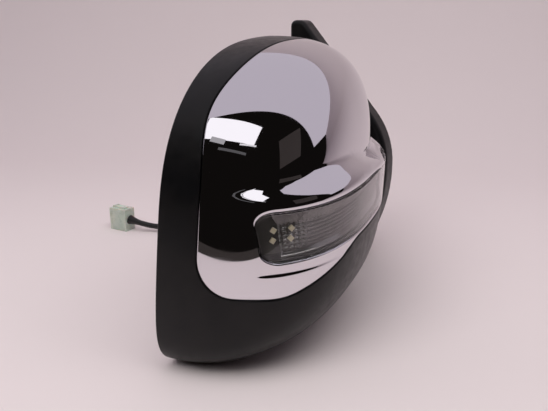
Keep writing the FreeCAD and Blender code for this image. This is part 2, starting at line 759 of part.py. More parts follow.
# The pinion has a gap facing the sun gear's tooth; the worm wheel is on the same shaft.
pinion = gear_solid(pinion_teeth, fold_module, gear_wide, 0, 180 / pinion_teeth + 180)
wheel_low = dim("wheel_low") - dim("gear_low")
WHEEL_WIDE = 6.0
wheel = Part.makeCylinder(dim("wheel_radius"), WHEEL_WIDE, Vector(0, 0, wheel_low))
notches = []
wheel_teeth = int(dim("wheel_teeth"))
for tooth in range(wheel_teeth):
    notch = Part.makeBox(2.0, 1.4, WHEEL_WIDE + 2, Vector(dim("wheel_radius") - 1.4, -0.7, wheel_low - 1))
    notch.rotate(Vector(0, 0, 0), Vector(0, 0, 1), 360 * (tooth + 0.5) / wheel_teeth)
    notches.append(notch)
wheel = wheel.cut(Part.makeCompound(notches))
SHAFT_RADIUS = 2.0
shaft = Part.makeCylinder(SHAFT_RADIUS, 24.0, Vector(0, 0, -3.0))
keep(add_shape("pinion_shape", pinion.fuse(shaft).fuse(wheel),
               Placement(SHAFT + Vector(0, 0, dim("gear_low")), Rotation())), "worm_wheel")


def worm_solid(length, crest, core, pitch, starts=1):
    """Core with one or more helical threads, along +Z from zero."""
    middle = (crest + core) / 2
    path = Part.makeHelix(pitch * starts, length - 1.2 * pitch, middle)
    high = (crest - core) / 2
    base = pitch * 0.32
    tip = pitch * 0.12
    inner = middle - high - 0.25
    corners = [Vector(inner, 0, -base), Vector(middle + high, 0, -tip), Vector(middle + high, 0, tip),
               Vector(inner, 0, base)]
    corners.append(corners[0])
    thread = Part.Wire(path.Edges).makePipeShell([Part.makePolygon(corners)], True, True)
    thread.translate(Vector(0, 0, 0.6 * pitch))
    worm = Part.makeCylinder(core, length)
    for start in range(starts):
        turned = thread.copy()
        turned.rotate(Vector(0, 0, 0), Vector(0, 0, 1), 360 * start / starts)
        worm = worm.fuse(turned)
    return worm


wheel_mid = dim("wheel_low") + WHEEL_WIDE / 2
WORM_Q = dim("pivot_q") + dim("wheel_radius") + dim("worm_radius") + dim("mesh_gap")
WORM_PITCH = 3.2
WORM_LONG = 14.0
worm_start = at(SHAFT.x - SHIFT.x - WORM_LONG / 2, WORM_Q, wheel_mid)
along_p = Rotation(Vector(0, 0, 1), Vector(1, 0, 0))
fold_worm = worm_solid(WORM_LONG, dim("worm_radius"), dim("worm_core"), WORM_PITCH)
fold_worm = fold_worm.fuse(Part.makeCylinder(1.0, 8.0, Vector(0, 0, WORM_LONG - 1)))
keep(add_shape("fold_worm_shape", fold_worm, Placement(worm_start, along_p)), "fold_worm")

MOTOR_START = 74.0
MOTOR_LONG = 22.0
motor = add_cylinder("fold_motor_can", "dims.motor_radius", "%g" % MOTOR_LONG,
                     at(MOTOR_START, WORM_Q, wheel_mid), Vector(1, 0, 0))
motor_bore = add_cylinder("fold_motor_bore", "1.05", "5", at(MOTOR_START - 1, WORM_Q, wheel_mid),
                          Vector(1, 0, 0))
keep(add_cut("fold_motor_cut", motor, motor_bore), "fold_motor")


def fold_block(grow, z_low, z_high):
    """Outer form of the fold unit; grow is negative for its hollow."""
    tower = Part.makeCylinder(dim("fold_case_radius") + grow, z_high - z_low, lift(z_low))
    top = min(z_high, dim("fold_split") + 4 + grow)
    gears = prism_along_z(rectangle(44 - grow, 22 - grow, 75 + grow, 52.8 + grow), z_low, top)
    drive = prism_along_z(rectangle(66 - grow, 37 - grow, 99 + grow, 56.6 + grow),
                          max(z_low, 46.5 - grow), top)
    return tower.fuse(gears).fuse(drive)


case_wall = dim("case_wall")
fold_solid = fold_block(0.0, dim("case_bottom"), dim("fold_top"))
fold_hollow = fold_block(-case_wall, dim("case_bottom") + case_wall, dim("fold_top") - case_wall)
post_hole = Part.makeCylinder(dim("post_radius") + dim("running_gap"), 200, lift(0))
fold_shell = fold_solid.cut(fold_hollow).cut(post_hole)
split_box = Part.makeBox(200, 200, dim("fold_split") + 40, at(-50, -50, -40))
shaft_seat = Part.makeCylinder(SHAFT_RADIUS + dim("running_gap"), 30, SHAFT + Vector(0, 0, dim("gear_low") - 3.2))
keep(add_shape("fold_case_shape", fold_shell.common(split_box).cut(shaft_seat)), "fold_case")
LUGS = [(63.5, 82), (63.5, 100)]
fold_cover = fold_shell.cut(split_box).cut(shaft_seat)
for p, z in LUGS:
    lug = Part.makeBox(18, 6, 9, at(50, dim("case_back") - 6, z - 4.5))
    fold_cover = fold_cover.fuse(lug.cut(fold_hollow).cut(Part.makeCylinder(1.6, 20, at(p, 35, z),
                                                                          Vector(0, 1, 0))))
keep(add_shape("fold_cover_shape", fold_cover.removeSplitter()), "fold_case_cover")


# ---------------------------------------------------------------- head frame


FRAME = [(105, 40, 4), (198, 34, 12), (210, 60, 14), (199, 84, 16), (197, 128, 16), (192, 168, 20),
         (176, 180, 14), (80, 182, 14), (57, 160, 10), (57, 78, 4), (105, 78, 4)]
case_back = dim("case_back")
frame = add_body("frame_body")


def head_edges(points):
    """Outline of (p, z) points as curves on the XZ plane of a body."""
    return rounded(shifted(points, SHIFT.x, SHIFT.z))


def head_circle(p, z, radius):
    return circle(p + SHIFT.x, z + SHIFT.z, radius)


# the XZ plane looks along -Y, so offsets and pads are reversed
frame_offset = -(case_back + SHIFT.y)
pad(frame, "frame_plate", "XZ_Plane", head_edges(FRAME), "dims.frame_thick", offset=frame_offset,
    reverse=True)
RIB_DEEP = 7.0
rib_ring = head_edges(FRAME) + head_edges(shrink(FRAME, 2.5))
pad(frame, "frame_rib", "XZ_Plane", rib_ring, "dims.frame_thick + %g" % RIB_DEEP, offset=frame_offset,
    reverse=True)
openings = [head_circle(dim("tilt_p"), dim("tilt_z"), 22), head_circle(88, 150, 13),
            head_circle(90, 104, 9), head_circle(140, 162, 10)]
openings += [head_circle(p, z, SCREW_CORE) for p, z in HOUSING_BOSSES + CAP_BOSSES + LUGS]
ACTUATOR_ANGLES = [60, 180, 300]
LUG_RING = 38.5
ACTUATOR_LUGS = [(dim("tilt_p") + LUG_RING * math.cos(math.radians(angle)),
                  dim("tilt_z") + LUG_RING * math.sin(math.radians(angle))) for angle in ACTUATOR_ANGLES]
openings += [head_circle(p, z, 1.6) for p, z in ACTUATOR_LUGS]
pocket(frame, "frame_holes", "XZ_Plane", openings, "dims.frame_thick + 2", offset=frame_offset + 1)
keep(frame, "head_frame")


def screw_group(name, places, head_q, head_high, shank_radius, head_radius, tip_q):
    """Pan-head screws along +Y, at (p, z) places of the head."""
    screws = []
    for number, (p, z) in enumerate(places):
        head = add_cylinder("%s_head_%d" % (name, number), "%g" % head_radius, "%g" % head_high,
                            at(p, head_q, z), Vector(0, 1, 0))
        shank = add_cylinder("%s_shank_%d" % (name, number), "%g" % shank_radius,
                             "%g" % (tip_q - head_q - head_high), at(p, head_q + head_high, z),
                             Vector(0, 1, 0))
        slot = add_box("%s_slot_%d" % (name, number), "%g" % (head_radius * 1.2), "0.8", "0.7",
                       at(p - head_radius * 0.6, head_q, z - 0.35))
        screws.append(add_cut("%s_%d" % (name, number),
                              add_fuse("%s_blank_%d" % (name, number), head, shank), slot))
    return add_group(name + "_group", *screws)


keep(screw_group("housing_screw", HOUSING_BOSSES + CAP_BOSSES, case_back - 2.2, 2.2, SCREW_CORE, 3.4,
                 FRAME_BACK + 10), "housing_screws")


# ---------------------------------------------------------------- glass actuator

tilt_p = dim("tilt_p")
tilt_q = dim("tilt_q")
tilt_z = dim("tilt_z")
case_radius = dim("case_radius")
case_front = dim("case_front")
jack_arm = dim("jack_arm")
UPPER_JACK = (tilt_p, tilt_z + jack_arm)
SIDE_JACK = (tilt_p + jack_arm, tilt_z)
FORWARD = Vector(0, 1, 0)


def rod(p, q, z, radius, length, direction=FORWARD):
    return Part.makeCylinder(radius, length, at(p, q, z), direction)


def actuator_form(q_low, q_high):
    form = rod(tilt_p, q_low, tilt_z, case_radius, q_high - q_low)
    for p, z in ACTUATOR_LUGS:
        form = form.fuse(rod(p, q_low, z, 4.2, q_high - q_low))
    for p, z in ACTUATOR_LUGS:
        form = form.cut(rod(p, q_low - 1, z, 1.6, q_high - q_low + 2))
    return form


cover_back = case_front + case_wall
case = actuator_form(cover_back, case_back)
case = case.cut(rod(tilt_p, cover_back - 1, tilt_z, case_radius - case_wall,
                    case_back - cover_back + 1 - case_wall))
keep(add_shape("actuator_case_shape", case), "actuator_case")

PIN_RADIUS = 1.5
EAR_INNER = 13.6
EAR_OUTER = 16.4
EAR_HALF = 4.0


def ear_pair(along_p_axis, base_q, grip_radius):
    """Two ears with pin holes, each side of the tilt centre."""
    ears = []
    thick = EAR_OUTER - EAR_INNER
    for side in (-1, 1):
        start = EAR_INNER if side > 0 else -EAR_OUTER
        low_q = min(base_q, tilt_q)
        high_q = max(base_q, tilt_q)
        if along_p_axis:
            ear = Part.makeBox(thick, high_q - low_q, 2 * EAR_HALF,
                               at(tilt_p + start, low_q, tilt_z - EAR_HALF))
            ear = ear.fuse(rod(tilt_p + start, tilt_q, tilt_z, EAR_HALF, thick, Vector(1, 0, 0)))
            ear = ear.cut(rod(tilt_p + start - 1, tilt_q, tilt_z, grip_radius, thick + 2,
                              Vector(1, 0, 0)))
        else:
            ear = Part.makeBox(2 * EAR_HALF, high_q - low_q, thick,
                               at(tilt_p - EAR_HALF, low_q, tilt_z + start))
            ear = ear.fuse(rod(tilt_p, tilt_q, tilt_z + start, EAR_HALF, thick, Vector(0, 0, 1)))
            ear = ear.cut(rod(tilt_p, tilt_q, tilt_z + start - 1, grip_radius, thick + 2,
                              Vector(0, 0, 1)))
        ears.append(ear)
    return ears[0].fuse(ears[1])


lid = actuator_form(case_front, cover_back)
for p, z in (UPPER_JACK, SIDE_JACK):
    lid = lid.cut(rod(p, case_front - 1, z, dim("rod_radius") + 0.6, 4))
lid = lid.fuse(ear_pair(True, case_front + 0.5, PIN_RADIUS + 0.06))
keep(add_shape("actuator_cover_shape", lid), "actuator_cover")
keep(screw_group("actuator_screw", ACTUATOR_LUGS, case_front - 2.0, 2.0, 1.6, 3.0,
                 case_back + dim("frame_thick")), "actuator_screws")

RING_INNER = 9.5
RING_OUTER = 13.0
RING_HALF = 2.6
PIN_REACH = 16.2
ring = rod(tilt_p, tilt_q - RING_HALF, tilt_z, RING_OUTER, 2 * RING_HALF)
ring = ring.cut(rod(tilt_p, tilt_q - RING_HALF - 1, tilt_z, RING_INNER, 2 * RING_HALF + 2))
for direction in (Vector(1, 0, 0), Vector(-1, 0, 0), Vector(0, 0, 1), Vector(0, 0, -1)):
    start = at(tilt_p, tilt_q, tilt_z) + direction * (RING_INNER + 1)
    ring = ring.fuse(Part.makeCylinder(PIN_RADIUS, PIN_REACH - RING_INNER - 1, start, direction))
keep(add_shape("gimbal_shape", ring), "gimbal_ring")

# jack gears, jack screws, worms and motors
jack_gear_front = dim("jack_gear_front")
jack_wide = dim("jack_gear_wide")
gear_turn = Rotation(Vector(0, 0, 1), FORWARD)
for side, (p, z) in (("upper", UPPER_JACK), ("side", SIDE_JACK)):
    nut = gear_solid(int(dim("jack_teeth")), dim("jack_module"), jack_wide, 0)
    nut = nut.fuse(Part.makeCylinder(5.0, case_back - case_wall - cover_back - 0.6,
                                     Vector(0, 0, cover_back + 0.3 - jack_gear_front)))
    nut = nut.cut(Part.makeCylinder(dim("rod_radius") + dim("running_gap"), 60, Vector(0, 0, -20)))
    keep(add_shape("jack_gear_%s_shape" % side, nut, Placement(at(p, jack_gear_front, z), gear_turn)),
         "jack_gear_" + side)
    screw = Part.makeSphere(dim("ball_radius"), at(p, tilt_q, z))
    screw = screw.fuse(rod(p, tilt_q, z, 1.9, 5)).fuse(rod(p, tilt_q + 4.2, z, dim("rod_radius"), 17.5))
    keep(add_shape("jack_screw_%s_shape" % side, screw), "jack_screw_" + side)

JACK_GAP = dim("jack_gear_radius") + dim("worm_radius") + dim("mesh_gap")
TILT_WORM_LONG = 12.0
TILT_WORM_PITCH = math.pi * dim("jack_module")
worm_q = jack_gear_front + jack_wide / 2
tilt_motor_long = dim("tilt_motor_long")
for side, start, direction in (
        ("upper", at(UPPER_JACK[0] + 6, worm_q, UPPER_JACK[1] - JACK_GAP), Vector(-1, 0, 0)),
        ("side", at(SIDE_JACK[0] - JACK_GAP, worm_q, SIDE_JACK[1] + 6), Vector(0, 0, -1))):
    worm = worm_solid(TILT_WORM_LONG, dim("worm_radius"), dim("worm_core"), TILT_WORM_PITCH, 2)
    worm = worm.fuse(Part.makeCylinder(1.0, 6.0, Vector(0, 0, TILT_WORM_LONG - 1)))
    facing = Rotation(Vector(0, 0, 1), direction)
    keep(add_shape("tilt_worm_%s_shape" % side, worm, Placement(start, facing)), "tilt_worm_" + side)
    can_start = start + direction * (TILT_WORM_LONG + 2)
    can = add_cylinder("tilt_can_" + side, "dims.tilt_motor_radius", "dims.tilt_motor_long", can_start,
                       direction)
    bore = add_cylinder("tilt_bore_" + side, "1.06", "4.5", can_start - direction, direction)
    keep(add_cut("tilt_motor_%s_cut" % side, can, bore), "tilt_motor_" + side)


# ---------------------------------------------------------------- mirror glass


def rim_outline(inset, count=72):
    """Points of the rear rim's outline in (p, z), moved inwards."""
    raw = []
    for i in range(count):
        angle = 2 * math.pi * i / count
        power = dims["power_top"] if math.sin(angle) > 0 else dims["power_bottom"]
        radius = (abs(math.cos(angle)) ** power + abs(math.sin(angle)) ** power) ** (-1 / power)
        p, z = rim_place(radius * math.cos(angle), radius * math.sin(angle))
        raw.append(Vector(p, z, 0))
    points = []
    for i in range(count):
        along = (raw[(i + 1) % count] - raw[i - 1]).normalize()
        points.append(raw[i] + Vector(-along.y, along.x, 0) * inset)
    return points


def glass_plate(inset, q_low, q_high, corner=13.0):
    """Plate with the rim's outline on three sides and a straight inboard side."""
    curve = Part.BSplineCurve()
    curve.interpolate(Points=rim_outline(inset), PeriodicFlag=True)
    plate = prism_along_q([curve], q_low, q_high)
    left = dim("glass_in_p") + inset - dim("glass_inset")
    plate = plate.common(Part.makeBox(250, 60, 300, at(left, q_low - 10, -40)))
    sharp = [edge for edge in plate.Edges
             if abs(edge.BoundBox.XLength) < 0.01 and abs(edge.BoundBox.ZLength) < 0.01
             and abs(edge.Vertexes[0].X - left - SHIFT.x) < 0.05]
    return plate.makeFillet(corner, sharp)


glass_face = dim("glass_face")
glass_back = glass_face + dim("glass_thick")
pad_back = glass_back + dim("pad_thick")
holder_back = pad_back + dim("holder_thick")
glass_inset = dim("glass_inset")
keep(add_shape("glass_shape", glass_plate(glass_inset, glass_face, glass_back)), "mirror_glass")
keep(add_shape("heater_shape", glass_plate(glass_inset + 5, glass_back, pad_back)), "heater_pad")
holder = glass_plate(glass_inset, pad_back, holder_back)
holder = holder.cut(Part.makeBox(38, 10, 26.6, at(tilt_p - 19, pad_back - 2, tilt_z - 13.3)))
holder = holder.fuse(ear_pair(False, holder_back - 0.5, PIN_RADIUS + 0.06))
SOCKET_RADIUS = 5.6
SOCKET_BORE = dim("ball_radius") + 0.7
for p, z in (UPPER_JACK, SIDE_JACK):
    holder = holder.fuse(rod(p, holder_back - 0.5, z, SOCKET_RADIUS, 9.0))
    holder = holder.cut(rod(p, holder_back + 0.6, z, SOCKET_BORE, 12.0))
rib_places = [(95, 60), (95, 150), (205, 60), (200, 145)]
for p, z in rib_places:
    holder = holder.fuse(rod(p, holder_back - 0.5, z, 9.0, 3.0).cut(rod(p, holder_back - 1, z, 7.4, 5.0)))
keep(add_shape("holder_shape", holder), "glass_holder")


# ---------------------------------------------------------------- small fasteners and clips

keep(screw_group("fold_screw", LUGS, dim("case_back") - 8, 2.0, 1.6, 3.0, FRAME_BACK), "fold_screws")
clips = []
for p in (62, 112, 162):
    block = Part.makeBox(12, 8, 16, at(p, 33, 196)).common(inner_head)
    clips.append(block)
keep(add_shape("clips_shape", Part.makeCompound(clips)), "cap_clips")

# ---------------------------------------------------------------- harness

cable_radius = dim("cable_radius")
CABLE_ROUTE = [(-12, 0, 0), (-26, -1, -2), (-39, -6, -12), (-47, -17, -29), (-48, -33, -48),
               (-44, -54, -64), (-37, -77, -71.5), (-25, -101, -72), (-8, -123, -72),
               (12, -142.5, -72), (33, -160, -72), (51, -175, -71), (65, -190, -69),
               (73, -206, -65.5), (75, -222, -62.5)]


def tube(route, radius):
    """Round tube along straight runs joined by tangent arcs; prints its radii and length."""
    points = [Vector(*point) for point in route]
    runs = [points[i + 1] - points[i] for i in range(len(points) - 1)]
    edges = []
    begin = points[0]
    radii = []
    for i in range(1, len(points) - 1):
        turn = runs[i - 1].getAngle(runs[i])
        reach = 0.45 * min(runs[i - 1].Length, runs[i].Length)
        bend = reach / math.tan(turn / 2)
        radii.append(bend)
        back = (points[i - 1] - points[i]).normalize()
        ahead = (points[i + 1] - points[i]).normalize()
        first = points[i] + back * reach
        last = points[i] + ahead * reach
        centre_way = (back + ahead).normalize()
        middle = points[i] + centre_way * (bend / math.cos(turn / 2) - bend)
        edges.append(Part.LineSegment(begin, first).toShape())
        edges.append(Part.Arc(first, middle, last).toShape())
        begin = last
    edges.append(Part.LineSegment(begin, points[-1]).toShape())
    path = Part.Wire(edges)
    ring = Part.Wire(Part.makeCircle(radius, points[0], runs[0]))
    solid = path.makePipeShell([ring], True, False)
    wanted = math.pi * radius * radius * path.Length
    print("cable length %.0f, radii %s, runs %s, volume ratio %.4f" % (
        path.Length, [round(value) for value in radii], [round(run.Length) for run in runs],
        solid.Volume / wanted))
    return solid


keep(add_shape("cable_shape", tube(CABLE_ROUTE, cable_radius)), "harness_cable")

plug_point = Vector(*CABLE_ROUTE[-1])
PLUG_LONG = 23.0
PLUG_WIDE = 15.0
PLUG_HIGH = 25.0
# the plug's own x axis points along the row's -Y
plug_place = Placement(plug_point, Rotation(Vector(0, 0, 1), -90))


def plug_box(x_low, x_high, y_half, z_low, z_high):
    return Part.makeBox(x_high - x_low, 2 * y_half, z_high - z_low, Vector(x_low, -y_half, z_low))


plug_floor = -75.0 - plug_point.z
plug_top = plug_floor + PLUG_HIGH
body = plug_box(0, PLUG_LONG, PLUG_WIDE / 2, plug_floor, plug_top)
body = body.cut(plug_box(9, PLUG_LONG + 1, PLUG_WIDE / 2 - 1.4, plug_floor + 1.6, plug_top - 3.6))
PIN_ROWS = (-6.0, -1.5, 3.0)
PIN_COLUMNS = (-2.4, 2.4)
body = body.removeSplitter()
keep(add_shape("plug_shape", body, plug_place), "connector_body")
insert = plug_box(9, 17, PLUG_WIDE / 2 - 2.6, plug_floor + 3.0, plug_top - 5.0)
terminals = []
for y in PIN_COLUMNS:
    for z in PIN_ROWS:
        slot = Part.makeBox(6, 1.8, 1.8, Vector(12, y - 0.9, z - 0.9))
        insert = insert.cut(slot)
        terminals.append(Part.makeBox(4.5, 1.0, 1.0, Vector(12, y - 0.5, z - 0.5)))
keep(add_shape("insert_shape", insert, plug_place), "connector_insert")
keep(add_shape("terminals_shape", Part.makeCompound(terminals), plug_place), "connector_terminals")
latch = plug_box(4, PLUG_LONG - 2, 2.6, plug_top, plug_top + 1.2)
latch = latch.fuse(plug_box(PLUG_LONG - 4.5, PLUG_LONG - 2, 3.8, plug_top, plug_top + 2.2))
keep(add_shape("latch_shape", latch, plug_place), "connector_latch")


# ---------------------------------------------------------------- check and export

doc.recompute()
for obj in doc.Objects:
    if "Invalid" in obj.State or "Error" in obj.State:
        raise RuntimeError("failed object: " + obj.Name)
os.makedirs("parts", exist_ok=True)
for obj in nodes:
    shape = obj.Shape
    if shape.isNull() or not shape.isValid() or not shape.Solids:
        raise RuntimeError("bad shape: " + obj.Label)
    shape.exportStep("parts/%s.step" % obj.Label)
    print("%-22s %d solids %9.0f mm3" % (obj.Label, len(shape.Solids), shape.Volume))
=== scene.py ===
"""Power-folding door mirror: looks, stage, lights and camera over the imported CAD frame.

Head-surface formulas work in millimetres in the row frame and are turned into metres at the end.
"""
import json
import math

import bpy
import bmesh
import numpy as np
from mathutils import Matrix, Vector
from mathutils.geometry import delaunay_2d_cdt


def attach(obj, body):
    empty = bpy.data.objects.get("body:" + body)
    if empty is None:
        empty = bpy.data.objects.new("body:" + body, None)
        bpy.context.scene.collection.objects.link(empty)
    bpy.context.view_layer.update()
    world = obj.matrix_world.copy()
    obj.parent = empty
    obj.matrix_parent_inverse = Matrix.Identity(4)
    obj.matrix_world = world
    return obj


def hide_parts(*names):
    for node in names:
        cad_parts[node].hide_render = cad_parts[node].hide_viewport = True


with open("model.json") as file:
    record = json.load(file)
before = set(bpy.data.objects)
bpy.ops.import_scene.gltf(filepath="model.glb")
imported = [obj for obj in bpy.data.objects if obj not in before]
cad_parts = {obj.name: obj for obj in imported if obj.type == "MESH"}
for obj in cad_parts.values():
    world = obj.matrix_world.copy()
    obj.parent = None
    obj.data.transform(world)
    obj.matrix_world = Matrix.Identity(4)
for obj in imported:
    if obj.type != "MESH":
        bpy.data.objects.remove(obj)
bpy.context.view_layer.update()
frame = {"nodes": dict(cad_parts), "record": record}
scene = bpy.context.scene
NODES = frame["nodes"]
MM = 0.001


# ---------------------------------------------------------------- camera

def look(obj, target):
    obj.rotation_euler = (Vector(target) - obj.location).to_track_quat("-Z", "Y").to_euler()


camera_data = bpy.data.cameras.new("camera")
camera_data.lens = 39.11
camera_data.sensor_width = 36.0
camera_data.clip_start = 0.01
camera = bpy.data.objects.new("camera", camera_data)
scene.collection.objects.link(camera)
camera.location = (0.5487, 0.2387, 0.14974)
look(camera, (0.15404, 0.01166, 0.01057))
scene.camera = camera
scene.view_settings.view_transform = "Standard"


# ---------------------------------------------------------------- materials

class Surface:
    """A node material around one Principled shader."""

    def __init__(self, name, color, rough, metal=0.0, **sockets):
        self.material = bpy.data.materials.new(name)
        self.material.use_nodes = True
        self.tree = self.material.node_tree
        self.shader = self.tree.nodes["Principled BSDF"]
        self.coords = self.tree.nodes.new("ShaderNodeTexCoord").outputs["Object"]
        self.set("Base Color", (*color, 1.0))
        self.set("Roughness", rough)
        self.set("Metallic", metal)
        for socket, value in sockets.items():
            self.set(socket.replace("_", " "), value)

    def set(self, socket, value):
        self.shader.inputs[socket].default_value = value

    def node(self, kind, **inputs):
        node = self.tree.nodes.new(kind)
        for key, value in inputs.items():
            socket = node.inputs[key.replace("_", " ")]
            if isinstance(value, bpy.types.NodeSocket):
                self.tree.links.new(value, socket)
            else:
                socket.default_value = value
        return node

    def noise(self, scale, detail):
        return self.node("ShaderNodeTexNoise", Vector=self.coords, Scale=scale, Detail=detail).outputs["Fac"]

    def ramp(self, fac, low, high, start=0.35, end=0.65):
        node = self.node("ShaderNodeMapRange", Value=fac)
        node.inputs["From Min"].default_value = start
        node.inputs["From Max"].default_value = end
        node.inputs["To Min"].default_value = low
        node.inputs["To Max"].default_value = high
        return node.outputs[0]

    def mix(self, fac, low, high):
        node = self.tree.nodes.new("ShaderNodeMix")
        node.data_type = "RGBA"
        self.tree.links.new(fac, node.inputs[0])
        for socket, value in ((node.inputs[6], low), (node.inputs[7], high)):
            if isinstance(value, bpy.types.NodeSocket):
                self.tree.links.new(value, socket)
            else:
                socket.default_value = (*value, 1.0)
        return node.outputs[2]

    def link(self, output, socket):
        self.tree.links.new(output, self.shader.inputs[socket])

    def bump(self, fac, depth, strength):
        node = self.node("ShaderNodeBump", Height=fac, Distance=depth, Strength=strength)
        self.link(node.outputs[0], "Normal")


def black_plastic():
    s = Surface("black_plastic", (0.004, 0.004, 0.0045), 0.34, Specular_IOR_Level=0.27)
    broad = s.noise(45.0, 4.0)
    s.link(s.mix(s.ramp(broad, 0, 1), (0.003, 0.003, 0.0035), (0.006, 0.0055, 0.0055)), "Base Color")
    s.link(s.ramp(s.noise(160.0, 5.0), 0.3, 0.4), "Roughness")
    s.bump(s.noise(2600.0, 2.0), 0.00006, 0.55)
    return s


def chrome_finish():
    s = Surface("chrome_finish", (0.70, 0.685, 0.72), 0.02, 1.0)
    haze = s.noise(38.0, 6.0)
    s.link(s.ramp(haze, 0.018, 0.05, 0.45, 0.75), "Roughness")
    specks = s.node("ShaderNodeTexVoronoi", Vector=s.coords, Scale=70.0)
    specks.inputs["Randomness"].default_value = 1.0
    dirt = s.ramp(specks.outputs["Distance"], 1.0, 0.0, 0.035, 0.06)
    rare = s.ramp(s.noise(11.0, 1.0), 0.0, 1.0, 0.62, 0.66)
    both = s.node("ShaderNodeMath")
    both.operation = "MULTIPLY"
    s.tree.links.new(dirt, both.inputs[0])
    s.tree.links.new(rare, both.inputs[1])
    s.link(s.mix(both.outputs[0], (0.70, 0.685, 0.72), (0.16, 0.13, 0.12)), "Base Color")
    return s


def grained(name, color, second, rough, grain, depth, metal=0.0, broad=60.0, **sockets):
    """Base of the simpler finishes: two tones, a roughness that varies and a fine bump."""
    s = Surface(name, color, rough, metal, **sockets)
    s.link(s.mix(s.ramp(s.noise(broad, 4.0), 0, 1), color, second), "Base Color")
    s.link(s.ramp(s.noise(broad * 3, 4.0), rough * 0.82, min(rough * 1.2, 1.0)), "Roughness")
    s.bump(s.noise(grain, 2.0), depth, 0.6)
    return s


def glassy(name, color, rough, ior, haze_low, haze_high):
    s = Surface(name, color, rough, Transmission_Weight=1.0, IOR=ior)
    s.link(s.ramp(s.noise(70.0, 5.0), haze_low, haze_high), "Roughness")
    return s


def mirror_surface():
    s = Surface("mirror_surface", (0.82, 0.85, 0.87), 0.01, 1.0)
    s.link(s.ramp(s.noise(30.0, 6.0), 0.008, 0.035, 0.5, 0.8), "Roughness")
    return s


FINISHES = {
    "black_plastic": black_plastic(),
    "chrome_finish": chrome_finish(),
    "cast_metal": grained("cast_metal", (0.34, 0.34, 0.35), (0.24, 0.24, 0.25), 0.5, 1300.0, 0.0001, 0.85),
    "steel": grained("steel", (0.55, 0.54, 0.52), (0.44, 0.43, 0.42), 0.32, 2200.0, 0.00003, 1.0),
    "gear_plastic": grained("gear_plastic", (0.72, 0.71, 0.66), (0.64, 0.63, 0.58), 0.38, 1800.0, 0.00003),
    "foam_rubber": grained("foam_rubber", (0.02, 0.02, 0.021), (0.034, 0.033, 0.033), 0.85, 1500.0, 0.0003),
    "cable_jacket": grained("cable_jacket", (0.006, 0.006, 0.0065), (0.011, 0.0105, 0.0105), 0.42, 1700.0,
                            0.00005),
    "clear_lens": glassy("clear_lens", (0.96, 0.96, 0.97), 0.01, 1.42, 0.004, 0.03),
    "reflector_silver": grained("reflector_silver", (0.22, 0.21, 0.205), (0.15, 0.145, 0.14), 0.11, 900.0,
                                0.00003, 0.85),
    "circuit_board": grained("circuit_board", (0.075, 0.07, 0.06), (0.055, 0.05, 0.045), 0.4, 1200.0,
                             0.00003),
    "led_package": grained("led_package", (0.82, 0.76, 0.56), (0.76, 0.68, 0.46), 0.35, 2400.0, 0.00002),
    "mirror_surface": mirror_surface(),
    "heater_film": grained("heater_film", (0.05, 0.045, 0.04), (0.08, 0.07, 0.06), 0.5, 1200.0, 0.00004),
    "connector_plastic": grained("connector_plastic", (0.62, 0.67, 0.58), (0.42, 0.50, 0.42), 0.3, 900.0,
                                 0.00004, Subsurface_Weight=0.4, Subsurface_Scale=0.006),
    "terminal_metal": grained("terminal_metal", (0.72, 0.66, 0.50), (0.6, 0.55, 0.42), 0.25, 2000.0,
                              0.00002, 1.0),
}


def paint(obj, slot):
    obj.data.materials.clear()
    obj.data.materials.append(FINISHES[slot].material)


def add_piece(mesh, name, body, slot, *replaced):
    obj = bpy.data.objects.new(name, mesh)
    scene.collection.objects.link(obj)
    paint(obj, slot)
    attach(obj, body)
    if replaced:
        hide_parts(*replaced)
    return obj


# ---------------------------------------------------------------- harness cable

CABLE_ROUTE = [(-12, 0, 0), (-26, -1, -2), (-39, -6, -12), (-47, -17, -29), (-48, -33, -48),
               (-44, -54, -64), (-37, -77, -71.5), (-25, -101, -72), (-8, -123, -72), (12, -142.5, -72),
               (33, -160, -72), (51, -175, -71), (65, -190, -69), (73, -206, -65.5), (75, -222, -62.5)]
CABLE_RADIUS = 3.0
TAPE_PITCH = 11.0
TAPE_EDGE = 0.16
FLARE, FLARE_LONG = 2.4, 13.0


def route_line():
    """Centreline read from the NURBS spline through the route, in millimetres."""
    curve = bpy.data.curves.new("cable_route", "CURVE")
    curve.dimensions = "3D"
    curve.resolution_u = 24
    spline = curve.splines.new("NURBS")
    spline.points.add(len(CABLE_ROUTE) - 1)
    for point, place in zip(spline.points, CABLE_ROUTE):
        point.co = (*(Vector(place) * MM), 1.0)
    spline.order_u = 3
    spline.use_endpoint_u = True
    holder = bpy.data.objects.new("cable_route", curve)
    mesh = bpy.data.meshes.new_from_object(holder)
    line = [v.co / MM for v in mesh.vertices]
    bpy.data.objects.remove(holder)
    bpy.data.meshes.remove(mesh)
    return line


def even(line, step):
    """Points a fixed distance apart along a line."""
    line = np.array([tuple(p) for p in line])
    run = np.concatenate([[0], np.cumsum(np.linalg.norm(np.diff(line, axis=0), axis=1))])
    marks = np.linspace(0, run[-1], int(run[-1] / step) + 1)
    return np.stack([np.interp(marks, run, line[:, i]) for i in range(3)], 1), marks


